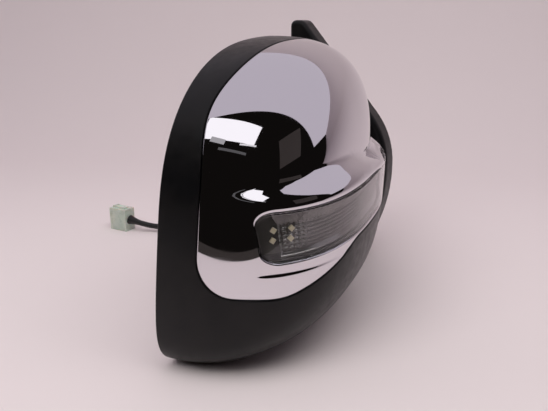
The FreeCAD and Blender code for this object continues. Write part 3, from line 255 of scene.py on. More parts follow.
def taped_cable():
    points, marks = even(route_line(), 1.0)
    sides = 24
    side = Vector((0, 1, 0))
    bm = bmesh.new()
    rings = []
    for i, place in enumerate(points):
        along = Vector(points[min(i + 1, len(points) - 1)] - points[max(i - 1, 0)]).normalized()
        side = (side - along * side.dot(along)).normalized()
        across = along.cross(side)
        ring = []
        for k in range(sides):
            angle = 2 * math.pi * k / sides
            turn = (marks[i] / TAPE_PITCH + k / sides) % 1.0
            radius = CABLE_RADIUS - TAPE_EDGE + TAPE_EDGE * min(turn * 6.0, 1.0) * (1.15 - 0.3 * turn)
            radius *= 1 + 0.012 * math.sin(marks[i] * 0.21 + 2 * angle)
            radius += FLARE * max(0.0, 1 - (marks[-1] - marks[i]) / FLARE_LONG) ** 1.5
            offset = (side * math.cos(angle) + across * math.sin(angle)) * radius
            ring.append(bm.verts.new((Vector(place) + offset) * MM))
        rings.append(ring)
    for low, high in zip(rings, rings[1:]):
        for k in range(sides):
            bm.faces.new((low[k], low[(k + 1) % sides], high[(k + 1) % sides], high[k]))
    bm.faces.new(rings[0][::-1])
    bm.faces.new(rings[-1])
    mesh = bpy.data.meshes.new("taped_cable")
    bm.to_mesh(mesh)
    bm.free()
    mesh.shade_smooth()
    cable = add_piece(mesh, "taped_cable", "base", "cable_jacket", "harness_cable")


taped_cable()


# ---------------------------------------------------------------- the head's surface

SHIFT = np.array([44.0, -5.0, -78.0])
RIM_CORNERS = {"in_low": (13.7, 13.4), "out_low": (242.9, 0.0), "out_top": (213.5, 202.4),
               "in_top": (2.3, 215.6)}
DOME, DOME_LEAN = 103.0, 0.1
SKIRT = 12.0
MIDDLE_P, HALF_LONG = 125.0, 115.0
MIDDLE_Z, HALF_HIGH = 106.0, 106.0

# Powers of the rounded outlines: the rim's sides and the cap in height, each above and below the
# middle, and the plan's bow, outboard and inboard.
SIDE_POWER_UP, SIDE_POWER_LOW = 3.0, 6.8
CAP_POWER_UP, CAP_POWER_LOW = 3.1, 2.85
PLAN_POWER_OUT, PLAN_POWER_IN = 2.66, 2.45
# How far the sides, the top edge and the middle of the cap swell.
EDGE_BOW, TOP_BOW, CAP_RISE = 3.1, 8.7, 2.9

# Ledge over the indicator: shares of the dome's depth and of the half height, and where around the
# plan, in degrees, it changes.
LEDGE_LOW, LEDGE_TOP = 0.147, 0.322
LEDGE_DEEP, LEDGE_DEEPER = 0.115, 0.026
LEDGE_TOP_IN, LEDGE_TOP_OUT = -0.135, 0.0175
INBOARD_AT, INBOARD_WIDE = -20.9, 22.1
OUTBOARD_AT, OUTBOARD_WIDE = 20.0, 26.6
LEDGE_START_POWER, LEDGE_END_POWER = 3.07, 4.44

# Crease under the indicator.
CREASE_TOP, CREASE_HIGH, CREASE_DEEP = -0.214, 0.032, 0.0066
CREASE_IN, CREASE_GROWS = -0.2, 0.9
CREASE_OUT, CREASE_FADES = 0.93, 0.12


def ease(t):
    t = np.clip(t, 0, 1)
    return t * t * (3 - 2 * t)


def head(uv):
    """Points of the outer surface over the rim plane: u, v from -1 to 1, inboard to outboard and up."""
    u, v = uv[:, 0], uv[:, 1]
    upper = v > 0
    side_power = np.where(upper, SIDE_POWER_UP, SIDE_POWER_LOW)
    cap_power = np.where(upper, CAP_POWER_UP, CAP_POWER_LOW)
    height = np.clip(np.abs(v), 0, 1)
    width = (1 - height ** side_power) ** (1 / side_power)
    cap = (1 - height ** cap_power) ** (1 / cap_power)
    s = np.clip(u / np.maximum(width, 1e-9), -1, 1)
    plan_power = np.where(s > 0, PLAN_POWER_OUT, PLAN_POWER_IN)
    bow = (1 - np.abs(s) ** plan_power) ** (1 / plan_power)
    around = np.degrees(np.arctan2(s, bow))
    inboard = np.exp(-((around - INBOARD_AT) / INBOARD_WIDE) ** 2)
    outboard = np.exp(-((around - OUTBOARD_AT) / OUTBOARD_WIDE) ** 2)
    ledge_top = LEDGE_TOP + LEDGE_TOP_IN * inboard + LEDGE_TOP_OUT * outboard
    rise = np.clip((v - LEDGE_LOW) / (ledge_top - LEDGE_LOW), 0, 1)
    ledge = (LEDGE_DEEP + LEDGE_DEEPER * inboard) * (1 - (1 - rise ** LEDGE_START_POWER) ** LEDGE_END_POWER)
    crease = CREASE_DEEP * ease((u - CREASE_IN) / CREASE_GROWS) * ease((CREASE_OUT - u) / CREASE_FADES)
    crease = crease * ease((CREASE_TOP - v) / CREASE_HIGH)
    depth = DOME * (1 + DOME_LEAN * u) * (1 - ledge + crease)
    a, b = (1 + u) / 2, (1 + v) / 2
    place = [(1 - a) * (1 - b) * RIM_CORNERS["in_low"][i] + a * (1 - b) * RIM_CORNERS["out_low"][i]
             + a * b * RIM_CORNERS["out_top"][i] + (1 - a) * b * RIM_CORNERS["in_top"][i] for i in (0, 1)]
    p = place[0] + EDGE_BOW * (1 - v * v) * u
    z = place[1] + TOP_BOW * (1 - u * u) * b + CAP_RISE * bow * cap * v
    q = bow * cap * (depth + SKIRT) - SKIRT
    return np.stack([p, q, z], 1) + SHIFT


def slopes(uv):
    step = 1e-7
    here = head(uv)
    return (head(uv + (step, 0)) - head(uv - (step, 0))) / (2 * step), \
           (head(uv + (0, step)) - head(uv - (0, step))) / (2 * step), here


def unit(a):
    return a / np.maximum(np.linalg.norm(a, axis=-1, keepdims=True), 1e-12)


def outward(uv):
    """Unit normals of the outer surface."""
    du, dv, _ = slopes(uv)
    return unit(np.cross(dv, du))


def settle(uv, target, rounds=6):
    """Moves points along the surface to where it comes nearest to their targets."""
    uv = uv.copy()
    for _ in range(rounds):
        du, dv, here = slopes(uv)
        miss = target - here
        a, b, c = (du * du).sum(1), (du * dv).sum(1), (dv * dv).sum(1)
        e, f = (du * miss).sum(1), (dv * miss).sum(1)
        det = a * c - b * b
        uv += np.stack([(c * e - b * f) / det, (a * f - b * e) / det], 1)
    return uv


# Polar map between the surface and a flat disk, so that triangles can be laid out in the flat.
# A plain rounded profile gives the run along the surface (ARC) for a share of the way out (REACH).
CENTRE = np.array([0.0, 0.45])
PROFILE_HALF, PROFILE_TALL, PROFILE_POWER = 105.0, 1.08, 2 / 3
sweep = np.linspace(0, math.pi / 2, 20001)
profile = np.stack([np.sin(sweep) ** PROFILE_POWER, PROFILE_TALL * np.cos(sweep) ** PROFILE_POWER], 1)
ARC = PROFILE_HALF * np.concatenate([[0], np.cumsum(np.linalg.norm(np.diff(profile, axis=0), axis=1))])
REACH = profile[:, 0]
RIM_Q = 0.0


def halve(low, high, keeps):
    """Bisection of many intervals at once; keeps says which middles still belong to the low side."""
    for _ in range(60):
        middle = (low + high) / 2
        good = keeps(middle)
        low = np.where(good, middle, low)
        high = np.where(good, high, middle)
    return low


def rim_distance(angle):
    ray = np.stack([np.cos(angle), np.sin(angle)], 1)
    return halve(np.zeros(len(angle)), np.full(len(angle), 2.0),
                 lambda t: head(CENTRE + ray * t[:, None])[:, 1] - SHIFT[1] > RIM_Q)


RIM_ANGLES = np.linspace(-math.pi, math.pi, 2881)
RIM_REACHES = rim_distance(RIM_ANGLES)


def rim_distance_fast(angle):
    return np.interp(angle, RIM_ANGLES, RIM_REACHES)


def to_disk(uv):
    offset = uv - CENTRE
    angle = np.arctan2(offset[:, 1], offset[:, 0])
    share = np.clip(np.hypot(offset[:, 0], offset[:, 1]) / rim_distance_fast(angle), 0, 1)
    rho = np.interp(share, REACH, ARC)
    return np.stack([rho * np.cos(angle), rho * np.sin(angle)], 1)


def from_disk(xy):
    angle = np.arctan2(xy[:, 1], xy[:, 0])
    share = np.interp(np.hypot(xy[:, 0], xy[:, 1]), ARC, REACH)
    ray = np.stack([np.cos(angle), np.sin(angle)], 1)
    return CENTRE + ray * (rim_distance_fast(angle) * share)[:, None]


def resample(uv, step):
    """A closed loop with its points evenly apart on the surface."""
    places = head(np.vstack([uv, uv[:1]]))
    run = np.concatenate([[0], np.cumsum(np.linalg.norm(np.diff(places, axis=0), axis=1))])
    marks = np.linspace(0, run[-1], int(run[-1] / step) + 1)[:-1]
    closed = np.vstack([uv, uv[:1]])
    return np.stack([np.interp(marks, run, closed[:, i]) for i in (0, 1)], 1)


def ray_loop(belongs, step=1.6):
    """Boundary of a region that every ray from the centre leaves once."""
    angle = np.linspace(-math.pi, math.pi, 2880, endpoint=False)
    ray = np.stack([np.cos(angle), np.sin(angle)], 1)
    far = rim_distance(angle)
    rho = halve(np.zeros(len(angle)), np.full(len(angle), ARC[-1]),
                lambda r: belongs(head(CENTRE + ray * (far * np.interp(r, ARC, REACH))[:, None])))
    loop = CENTRE + ray * (far * np.interp(rho, ARC, REACH))[:, None]
    return resample(loop, step)


def column(value):
    """A number, or one per point, ready to scale vectors."""
    return np.asarray(value, float).reshape(-1, 1)


def moved(loop, distance):
    """The loop moved outwards from its middle along the surface."""
    uv = loop
    for _ in range(2):
        du, dv, here = slopes(uv)
        along = unit(np.roll(here, -1, 0) - np.roll(here, 1, 0))
        side = unit(np.cross(unit(np.cross(dv, du)), along))
        uv = settle(uv, here + side * column(distance) / 2)
    return uv


def ccw(loop):
    """Orders a loop so that its outside lies on one known side."""
    xy = to_disk(loop)
    x, y = xy[:, 0], xy[:, 1]
    turn = (x * np.roll(y, -1) - y * np.roll(x, -1)).sum()
    return loop if turn > 0 else loop[::-1]


# Seam between the chrome cap and the black housing, in the head's own millimetres.
BAND = 30.0
SHOULDER = 6.5
SHOULDER_P, SHOULDER_LONG = 205.0, 38.0
SHOULDER_Z, SHOULDER_HIGH = 178.0, 34.0
SEAM_LOW = 64.0
SEAM_CORNER = 25.0
SEAM_HIGH, SEAM_KNEE = 105.0, 90.4
SEAM_IN, KNEE_P, FOOT_P = -20.0, 150.0, 210.0
KNEE_SOFT, FOOT_SOFT = 6.6, 6.3


def seam_height(p):
    """The seam's lower line: two slopes, then level, with rounded bends between them."""
    def bend(x, half):
        return np.where(x < -half, 0, np.where(x > half, x, (x + half) ** 2 / (4 * half)))
    first = (SEAM_KNEE - SEAM_HIGH) / (KNEE_P - SEAM_IN)
    second = (SEAM_LOW - SEAM_KNEE) / (FOOT_P - KNEE_P)
    turns = (second - first) * bend(p - KNEE_P, KNEE_SOFT) - second * bend(p - FOOT_P, FOOT_SOFT)
    return SEAM_HIGH + first * (p - SEAM_IN) + turns


def in_cap(places):
    p, q, z = (places - SHIFT).T
    corner = (q < BAND + SEAM_CORNER) & (z < SEAM_LOW + SEAM_CORNER)
    cut_off = corner & (np.hypot(q - BAND - SEAM_CORNER, z - SEAM_LOW - SEAM_CORNER) > SEAM_CORNER)
    shoulder = np.exp(-((p - SHOULDER_P) / SHOULDER_LONG) ** 2 - ((z - SHOULDER_Z) / SHOULDER_HIGH) ** 2)
    seam_q = BAND - SHOULDER * shoulder
    return (q > seam_q) & (z > SEAM_LOW) & (z > seam_height(p)) & ~cut_off


# The housing is cut away over the arm, inboard and low.
STEP_P, STEP_Z = 62.0, 38.0


def in_head(places):
    p, q, z = (places - SHIFT).T
    return (q > RIM_Q) & ~((p < STEP_P) & (z < STEP_Z))


# The indicator's window: its ends, its edges at LENS_LEVEL_P and how they fall outboard.
LENS_IN, LENS_OUT = 46.0, 217.0
LENS_TOP, LENS_LOW = 127.5, 96.9
LENS_FALL, LENS_LEVEL_P = 0.0875, 110.0
LENS_ROUND, LENS_ROUND_OUT_TOP = 6.0, 8.5


def lens_edge(p, middle):
    return middle - LENS_FALL * (p - LENS_LEVEL_P)


def flat_guess(p, z):
    """(u, v) of points as if the surface's outline were a plain rectangle."""
    return np.stack([(p - MIDDLE_P) / HALF_LONG, (z - MIDDLE_Z) / HALF_HIGH], 1)


def surface_at(p, z):
    """(u, v) of the surface points at given p and z in front of the rim."""
    uv = flat_guess(p, z)
    for _ in range(40):
        places = head(uv) - SHIFT
        uv += np.stack([(p - places[:, 0]) / HALF_LONG, (z - places[:, 2]) / HALF_HIGH], 1) * 0.9
    return uv


def window_loop(step=1.3):
    """The indicator window's outline on the surface."""
    corners = [(LENS_IN, LENS_LOW, 180, LENS_ROUND), (LENS_OUT, LENS_LOW, 270, LENS_ROUND),
               (LENS_OUT, LENS_TOP, 0, LENS_ROUND_OUT_TOP), (LENS_IN, LENS_TOP, 90, LENS_ROUND)]
    outline = []
    for p, middle, start, radius in corners:
        centre_p = p + radius * (1 if p == LENS_IN else -1)
        centre_z = lens_edge(p, middle) + radius * (1 if middle == LENS_LOW else -1)
        for angle in np.radians(np.linspace(start, start + 90, 13)):
            outline.append((centre_p + radius * math.cos(angle), centre_z + radius * math.sin(angle)))
    outline = np.array(outline)
    closed = np.vstack([outline, outline[:1]])
    run = np.concatenate([[0], np.cumsum(np.linalg.norm(np.diff(closed, axis=0), axis=1))])
    marks = np.linspace(0, run[-1], 900, endpoint=False)
    p, z = (np.interp(marks, run, closed[:, i]) for i in (0, 1))
    return resample(surface_at(p, z), step)


def window_height(uv):
    """Share of the way from the window's bottom edge to its top."""
    p, _, z = (head(uv) - SHIFT).T
    return (z - lens_edge(p, LENS_LOW)) / (LENS_TOP - LENS_LOW)


def within(xy, polygon):
    """Which points lie inside a polygon of the flat disk."""
    result = np.zeros(len(xy), bool)
    ax, ay = polygon[:, 0], polygon[:, 1]
    bx, by = np.roll(ax, -1), np.roll(ay, -1)
    for start in range(0, len(xy), 4000):
        x, y = xy[start:start + 4000, 0][:, None], xy[start:start + 4000, 1][:, None]
        crosses = ((ay > y) != (by > y)) & (x < (bx - ax) * (y - ay) / (by - ay + 1e-300) + ax)
        result[start:start + 4000] = crosses.sum(1) % 2 == 1
    return result


def clear_of(xy, polygon, gap):
    """Which points are further than gap from the polygon's corners."""
    result = np.ones(len(xy), bool)
    for start in range(0, len(xy), 3000):
        part = xy[start:start + 3000]
        apart = np.hypot(part[:, 0][:, None] - polygon[:, 0], part[:, 1][:, None] - polygon[:, 1])
        result[start:start + 3000] = apart.min(1) > gap
    return result


def inside(points, flats):
    """Which points lie inside the first loop and outside the others."""
    mask = within(points, flats[0])
    for flat in flats[1:]:
        mask &= ~within(points, flat)
    return mask


def fitting(points, flats, gap):
    """The points that lie inside, at least a gap away from every loop."""
    mask = inside(points, flats)
    for flat in flats:
        mask &= clear_of(points, flat, gap)
    return points[mask]


def flat_grid(flats, spacing, extra):
    """Evenly spread points between the loops, with the extra (u, v) points among them."""
    low, high = flats[0].min(0), flats[0].max(0)
    rows = []
    for i, y in enumerate(np.arange(low[1], high[1], spacing * math.sqrt(3) / 2)):
        x = np.arange(low[0] + (i % 2) * spacing / 2, high[0], spacing)
        rows.append(np.stack([x, np.full(len(x), y)], 1))
    grid = fitting(np.vstack(rows), flats, spacing * EDGE_CLEAR)
    if extra is None:
        return grid
    lines = fitting(to_disk(extra), flats, LINE_CLEAR)
    return np.vstack([grid[clear_of(grid, lines, spacing * LINE_SHARE)], lines])


def triangulate(flats, grid):
    """Triangles over the loops' points and the grid's, in that order."""
    points = np.vstack(flats + [grid])
    edges = []
    start = 0
    for flat in flats:
        count = len(flat)
        edges += [(start + i, start + (i + 1) % count) for i in range(count)]
        start += count
    found = delaunay_2d_cdt([Vector(p) for p in points], edges, [], 0, 1e-6)
    origin = [ids[0] if ids else None for ids in found[3]]
    triangles = np.array([[origin[i] for i in face] for face in found[2]
                          if all(origin[i] is not None for i in face)])
    return triangles[inside(points[triangles].mean(1), flats)]


def band(first, second):
    """Quads between two closed rings of vertex numbers."""
    return [(first[i], first[(i + 1) % len(first)], second[(i + 1) % len(first)], second[i])
            for i in range(len(first))]


EDGE_CLEAR, LINE_SHARE, LINE_CLEAR = 0.6, 0.4, 1.0
RING_STEPS = 4


def shell(name, outer, holes, wall, spacing, body, slot, replaced, extra=None):
    """Closed thin shell over a region of the head's surface, with rounded edges.

    outer and each of holes are (loop, edge radius); the loops are where the rounding starts. extra
    holds more (u, v) points for the mesh to pass through.
    """
    loops = [(ccw(outer[0]), outer[1], 1)] + [(ccw(loop), radius, -1) for loop, radius in holes]
    flats = [to_disk(loop) for loop, _, _ in loops]
    grid = flat_grid(flats, spacing, extra)
    triangles = triangulate(flats, grid)

    uv = np.vstack([loop for loop, _, _ in loops] + [from_disk(grid)])
    places, normals = head(uv), outward(uv)
    count = len(uv)
    verts = [places, places - normals * wall]
    norms = [normals, -normals]
    faces = [tuple(t) for t in triangles] + [tuple(t[::-1] + count) for t in triangles]
    total, begin = 2 * count, 0
    for loop, radius, sign in loops:
        size = len(loop)
        at, n = places[begin:begin + size], normals[begin:begin + size]
        along = unit(np.roll(at, -1, 0) - np.roll(at, 1, 0))
        side = unit(np.cross(n, along)) * sign
        previous = np.arange(begin, begin + size)
        for step in range(1, RING_STEPS + 1):
            phi = math.pi / 2 * step / RING_STEPS
            verts.append(at + side * column(radius) * math.sin(phi)
                         - n * column(radius) * (1 - math.cos(phi)))
            norms.append(unit(n * math.cos(phi) + side * math.sin(phi)))
            ring = np.arange(total, total + size)
            faces += band(previous, ring)
            previous = ring
            total += size
        verts.append(at + side * column(radius) - n * wall)
        norms.append(unit(side - n))
        ring = np.arange(total, total + size)
        inner = np.arange(begin + count, begin + count + size)
        faces += band(previous, ring) + band(ring, inner)
        total += size
        begin += size
    mesh = bpy.data.meshes.new(name)
    mesh.from_pydata(np.vstack(verts) * MM, [], [[int(i) for i in face] for face in faces])
    mesh.validate()
    bm = bmesh.new()
    bm.from_mesh(mesh)
    bmesh.ops.recalc_face_normals(bm, faces=bm.faces)
    bm.to_mesh(mesh)
    bm.free()
    mesh.shade_smooth()
    mesh.normals_split_custom_set_from_vertices(np.vstack(norms))
    add_piece(mesh, name, body, slot, *replaced)


SEAM_GAP = 0.5
CAP_EDGE, HOUSING_EDGE, RIM_EDGE, LENS_EDGE = 1.1, 0.9, 1.4, 0.6
WINDOW_EDGE, WINDOW_EDGE_MORE = 1.2, 2.2
WINDOW_GAP, LENS_INSET = 0.2, 0.9
SHELL_WALL, LENS_WALL = 3.0, 1.5
CAP_MESH, HOUSING_MESH, LENS_MESH = 2.0, 2.6, 2.4
CREASE_ROWS = (-0.1, 0.05, 0.2, 0.35, 0.5, 0.65, 0.8, 0.95, 1.1)
seam = ccw(ray_loop(in_cap))
window = ccw(window_loop())
rim = ccw(ray_loop(in_head))
window_edge = WINDOW_EDGE + WINDOW_EDGE_MORE * ease((window_height(window) - 0.7) / 0.3)
crease_lines = np.array([(u, CREASE_TOP - share * CREASE_HIGH) for share in CREASE_ROWS
                         for u in np.arange(-0.3, 0.97, 0.008)])
shell("chrome_cap_skin", (moved(seam, -CAP_EDGE - SEAM_GAP / 2), CAP_EDGE),
      [(moved(window, window_edge + WINDOW_GAP), window_edge)], SHELL_WALL, CAP_MESH, "head",
      "chrome_finish", ["chrome_cap"], crease_lines)
shell("housing_skin", (moved(rim, -RIM_EDGE), RIM_EDGE),
      [(moved(seam, HOUSING_EDGE + SEAM_GAP / 2), HOUSING_EDGE)], SHELL_WALL, HOUSING_MESH, "head",
      "black_plastic", ["housing_shell"])
shell("lens_skin", (moved(window, -LENS_INSET), LENS_EDGE), [], LENS_WALL, LENS_MESH, "head",
      "clear_lens", ["indicator_lens"])


# ---------------------------------------------------------------- turn indicator's optics

WINDOW_LONG = LENS_OUT - LENS_IN
WINDOW_HIGH = LENS_TOP - LENS_LOW
STRIP_FOOT, LOW_STRIP = 21.5, 5.0
STRIP_BLEND, STRIP_STARTS, STRIP_CLIMBS, STRIP_HIGH, LOW_CLIMBS = 0.8, 0.5, 3.6, 9.0, 3.0
CELL_WIDE, CELL_HIGH, CELL_DEEP = 3.0, 2.5, 1.05
RIB_PITCH, RIB_DEEP = 2.6, 0.4
POCKET_LONG, POCKET_SLANT, POCKET_DEEP = 4.6, 0.3, 10.4
LIP_HIGH, LIP_WIDE = 0.7, 0.5
OPTICS_DEEP, BORDER_DEEP, BORDER_WIDE, OPTICS_GAP = 7.4, 3.2, 1.6, 0.6
OPTICS_ROWS, OPTICS_COLUMNS, OPTICS_WALL = 80, 400, 0.6


def behind_window(s, t, depth):
    """Points at s from the outboard end, t above the bottom edge, moved inwards level with the ground."""
    p = LENS_OUT - s
    uv = surface_at(p, lens_edge(p, LENS_LOW) + t)
    level = outward(uv) * (1, 1, 0)
    return head(uv) - unit(level) * column(depth)


def recess_edge(t):
    """Where the pocket for the outboard lamps ends, slanting under the top strip."""
    return POCKET_LONG + (WINDOW_HIGH - np.maximum(t, STRIP_FOOT)) * POCKET_SLANT


def optics_depth(s, t):
    """Depth of the reflector: lattice in the middle, ribbed strip above, plain strip below."""
    across, up = 2 * ((s / CELL_WIDE) % 1.0) - 1, 2 * ((t / CELL_HIGH) % 1.0) - 1
    pillow = CELL_DEEP * (1 - across ** 2) * (1 - up ** 2)
    ribs = RIB_DEEP * np.cos(2 * math.pi * s / RIB_PITCH)
    top = ease((t - STRIP_FOOT + STRIP_BLEND / 2) / STRIP_BLEND)
    low = ease((LOW_STRIP - t) / STRIP_BLEND)
    strip_share = np.clip((t - STRIP_FOOT) / STRIP_HIGH, 0, 1)
    depth = OPTICS_DEEP - pillow * (1 - top) * (1 - low)
    depth += top * (ribs - STRIP_CLIMBS * strip_share - STRIP_STARTS)
    depth -= low * LOW_CLIMBS * np.clip((LOW_STRIP - t) / LOW_STRIP, 0, 1)
    lip = np.exp(-((s - recess_edge(t) - LIP_WIDE) / LIP_WIDE) ** 2)
    border = np.minimum.reduce([t, WINDOW_HIGH - t, WINDOW_LONG - s]) - OPTICS_GAP
    return BORDER_DEEP + (depth - LIP_HIGH * lip - BORDER_DEEP) * ease(border / BORDER_WIDE)


def indicator_optics():
    rows = np.linspace(OPTICS_GAP, WINDOW_HIGH - OPTICS_GAP, OPTICS_ROWS)
    t = np.repeat(rows, OPTICS_COLUMNS)
    edge = recess_edge(t)
    share = np.tile(np.linspace(0, 1, OPTICS_COLUMNS), OPTICS_ROWS)
    s = edge + share * (WINDOW_LONG - OPTICS_GAP - edge)
    face = behind_window(s, t, optics_depth(s, t))
    wall = behind_window(recess_edge(rows), rows, np.full(OPTICS_ROWS, POCKET_DEEP))
    wide = OPTICS_COLUMNS
    faces = [(r * wide + c, r * wide + c + 1, (r + 1) * wide + c + 1, (r + 1) * wide + c)
             for r in range(OPTICS_ROWS - 1) for c in range(wide - 1)]
    faces += [(len(face) + r, r * wide, (r + 1) * wide, len(face) + r + 1) for r in range(OPTICS_ROWS - 1)]
    mesh = bpy.data.meshes.new("indicator_optics")
    mesh.from_pydata(np.vstack([face, wall]) * MM, [], faces)
    mesh.shade_smooth()
    piece = add_piece(mesh, "indicator_optics", "head", "reflector_silver", "indicator_reflector")
    thick = piece.modifiers.new("thickness", "SOLIDIFY")
    thick.thickness = OPTICS_WALL * MM
    thick.offset = -1.0


indicator_optics()


# ---------------------------------------------------------------- carried-over CAD nodes

NODE_SLOTS = {part["node"]: part["material_slot"] for part in frame["record"]["subparts"]}
for node, obj in NODES.items():
    if not obj.hide_render:
        paint(obj, NODE_SLOTS[node])


BEVEL_SEGMENTS = 3
BEVEL_ANGLE = math.radians(32.0)
SMOOTH_ROUNDS = 4
COVER_VOXEL = 1.0
EDGE_WIDTHS = {"mirror_glass": 0.5, "glass_holder": 0.4, "rim_panel": 0.5, "underside_cover": 0.5,
               "connector_body": 0.9, "connector_latch": 0.3, "connector_insert": 0.3, "base_bracket": 0.8,
               "cable_grommet": 0.5, "door_gasket": 0.5}
TRAY_DEEP = 3.4


def soften(node, width):
    """Rounded edges on a CAD node, by a modifier, which leaves its mesh alone."""
    bevel = NODES[node].modifiers.new("edge", "BEVEL")
    bevel.width = width * MM
    bevel.segments = BEVEL_SEGMENTS
    bevel.limit_method = "ANGLE"
    bevel.angle_limit = BEVEL_ANGLE
    bevel.harden_normals = True


def softened_copy(node, name, body, voxel):
    """A copy of a CAD node with evenly softened edges, standing for it."""
    piece = add_piece(NODES[node].data.copy(), name, body, NODE_SLOTS[node], node)
    remesh = piece.modifiers.new("remesh", "REMESH")
    remesh.mode = "VOXEL"
    remesh.voxel_size = voxel * MM
    remesh.use_smooth_shade = True
    smooth = piece.modifiers.new("smooth", "SMOOTH")
    smooth.factor = 0.5
    smooth.iterations = SMOOTH_ROUNDS


def pulled_in(node, name, body, inside):
    """A copy of a CAD node kept a given depth under the head's surface, standing for it."""
    mesh = NODES[node].data.copy()
    places = np.array([tuple(v.co) for v in mesh.vertices]) / MM
    local = places - SHIFT
    uv = settle(np.clip(flat_guess(local[:, 0], local[:, 2]), -0.97, 0.97), places)
    normal = outward(uv)
    gap = ((head(uv) - places) * normal).sum(1)
    places -= normal * np.clip(inside - gap, 0, None)[:, None]
    mesh.vertices.foreach_set("co", (places * MM).ravel())
    mesh.update()
    add_piece(mesh, name, body, NODE_SLOTS[node], node)


pulled_in("indicator_tray", "indicator_tray_skin", "head", TRAY_DEEP)
softened_copy("base_cover", "base_cover_skin", "base", COVER_VOXEL)
for node, width in EDGE_WIDTHS.items():
    soften(node, width)


# ---------------------------------------------------------------- stage and light

def stage_sheet(name, corners, color, glow):
    mesh = bpy.data.meshes.new(name)
    mesh.from_pydata([tuple(c) for c in corners], [], [tuple(range(len(corners)))])
    obj = bpy.data.objects.new(name, mesh)
    scene.collection.objects.link(obj)
    finish = Surface(name, (0.02, 0.02, 0.02), 0.9, Specular_IOR_Level=0.0, Emission_Strength=glow)
    finish.set("Emission Color", (*color, 1.0))
    mesh.materials.append(finish.material)


AZ = math.radians(22.0)
FORWARD = Vector((math.cos(AZ), math.sin(AZ), 0))
SIDEWAYS = Vector((-math.sin(AZ), math.cos(AZ), 0))
MIDDLE = Vector((0.16, 0.03, 0))
TABLE = -0.075
TABLE_FRONT, WALL_FOOT, SWEEP, WALL_TOP = 0.62, -0.47, 0.55, 2.6
STAGE_HALF = 5.0
FLOOR, FLOOR_FAR = -0.8, 6.0


def ground(forward, sideways, height):
    return MIDDLE + FORWARD * forward + SIDEWAYS * sideways + Vector((0, 0, height))


def backdrop():
    """Table and wall in one sheet with a wide sweep between them."""
    profile = [(TABLE_FRONT, TABLE), (0.3, TABLE), (0.0, TABLE)]
    for k in range(25):
        angle = math.pi / 2 * k / 24
        profile.append((WALL_FOOT - SWEEP * math.sin(angle), TABLE + SWEEP * (1 - math.cos(angle))))
    profile.append((WALL_FOOT - SWEEP, WALL_TOP))
    bm = bmesh.new()
    left = [bm.verts.new(ground(f, -STAGE_HALF, h)) for f, h in profile]
    right = [bm.verts.new(ground(f, STAGE_HALF, h)) for f, h in profile]
    for i in range(len(profile) - 1):
        bm.faces.new((left[i], left[i + 1], right[i + 1], right[i]))
    mesh = bpy.data.meshes.new("backdrop")
    bm.to_mesh(mesh)
    bm.free()
    mesh.shade_smooth()
    obj = bpy.data.objects.new("backdrop", mesh)
    scene.collection.objects.link(obj)
    finish = Surface("backdrop", (0.79, 0.705, 0.695), 0.8)
    finish.bump(finish.noise(300.0, 3.0), 0.0001, 0.2)
    mesh.materials.append(finish.material)


backdrop()
CANOPY_HIGH, CANOPY_BACK = 1.1, -1.1
HEAD_HIGH, EDGE_SLOPE = 0.06, 2.0
canopy_front = (CANOPY_HIGH - HEAD_HIGH) / EDGE_SLOPE
stage_sheet("canopy", [ground(canopy_front, -STAGE_HALF, CANOPY_HIGH),
                       ground(canopy_front, STAGE_HALF, CANOPY_HIGH),
                       ground(CANOPY_BACK, STAGE_HALF, CANOPY_HIGH),
                       ground(CANOPY_BACK, -STAGE_HALF, CANOPY_HIGH)],
            (0.92, 0.84, 0.94), 0.66)

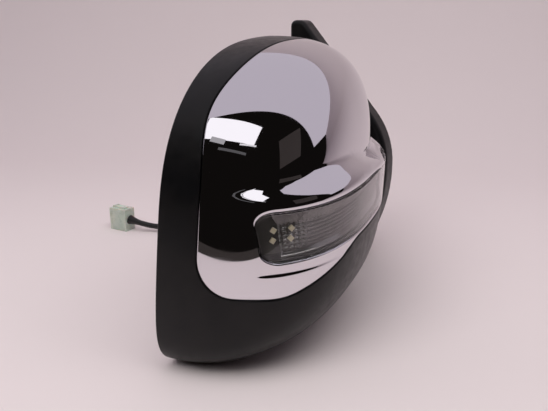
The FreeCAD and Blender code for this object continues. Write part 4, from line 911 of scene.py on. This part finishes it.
# What the cap's lower part sees past the table's near edge.
stage_sheet("room_floor", [ground(TABLE_FRONT, -STAGE_HALF, FLOOR), ground(TABLE_FRONT, STAGE_HALF, FLOOR),
                           ground(FLOOR_FAR, STAGE_HALF, FLOOR), ground(FLOOR_FAR, -STAGE_HALF, FLOOR)],
            (0.95, 0.8, 0.74), 0.05)

scene.world = bpy.data.worlds.new("room")
scene.world.use_nodes = True
scene.world.node_tree.nodes["Background"].inputs[0].default_value = (0.006, 0.005, 0.0045, 1.0)


def area(name, place, size, power):
    """Soft light on the mirror that leaves no reflection of itself."""
    data = bpy.data.lights.new(name, "AREA")
    data.shape = "RECTANGLE"
    data.size, data.size_y = size
    data.energy = power
    obj = bpy.data.objects.new(name, data)
    scene.collection.objects.link(obj)
    obj.location = place
    look(obj, MIDDLE)
    obj.visible_glossy = False


area("soft_top", ground(0.25, 0.1, 1.05), (1.6, 1.0), 10.8)
area("soft_front", ground(0.8, -0.5, 0.9), (0.8, 0.6), 3.4)


PANEL_AWAY = 1.6
PANEL_COLOR, BROWN = (0.95, 0.93, 0.95), (0.95, 0.78, 0.72)
HEAD_MIDDLE = Vector((0.2, 0.06, 0.06))


def light_panel(name, azimuth, elevation, width, height, strength, tilt=0.0, color=PANEL_COLOR):
    """Bright panel seen from the head in a given direction."""
    az, el = math.radians(azimuth), math.radians(elevation)
    away = Vector((math.cos(el) * math.cos(az), math.cos(el) * math.sin(az), math.sin(el)))
    centre = HEAD_MIDDLE + away * PANEL_AWAY
    across = Vector((-math.sin(az), math.cos(az), 0))
    upward = away.cross(across) * -1
    turned = across * math.cos(math.radians(tilt)) + upward * math.sin(math.radians(tilt))
    rise = upward * math.cos(math.radians(tilt)) - across * math.sin(math.radians(tilt))
    corners = [centre + turned * (sx * width / 2) + rise * (sy * height / 2)
               for sx, sy in ((-1, -1), (1, -1), (1, 1), (-1, 1))]
    stage_sheet(name, corners, color, strength)


light_panel("panel_main", -1.0, 48.0, 1.25, 0.46, 1.4)
light_panel("panel_strip", 19.0, 37.5, 0.45, 0.035, 1.0, 8.0)
light_panel("panel_small", -14.0, 38.5, 0.3, 0.10, 0.5)
light_panel("panel_low", 4.0, 33.0, 0.7, 0.05, 0.12, 6.0)
light_panel("panel_far", 74.0, 25.0, 0.75, 0.6, 0.04, 0.0, BROWN)
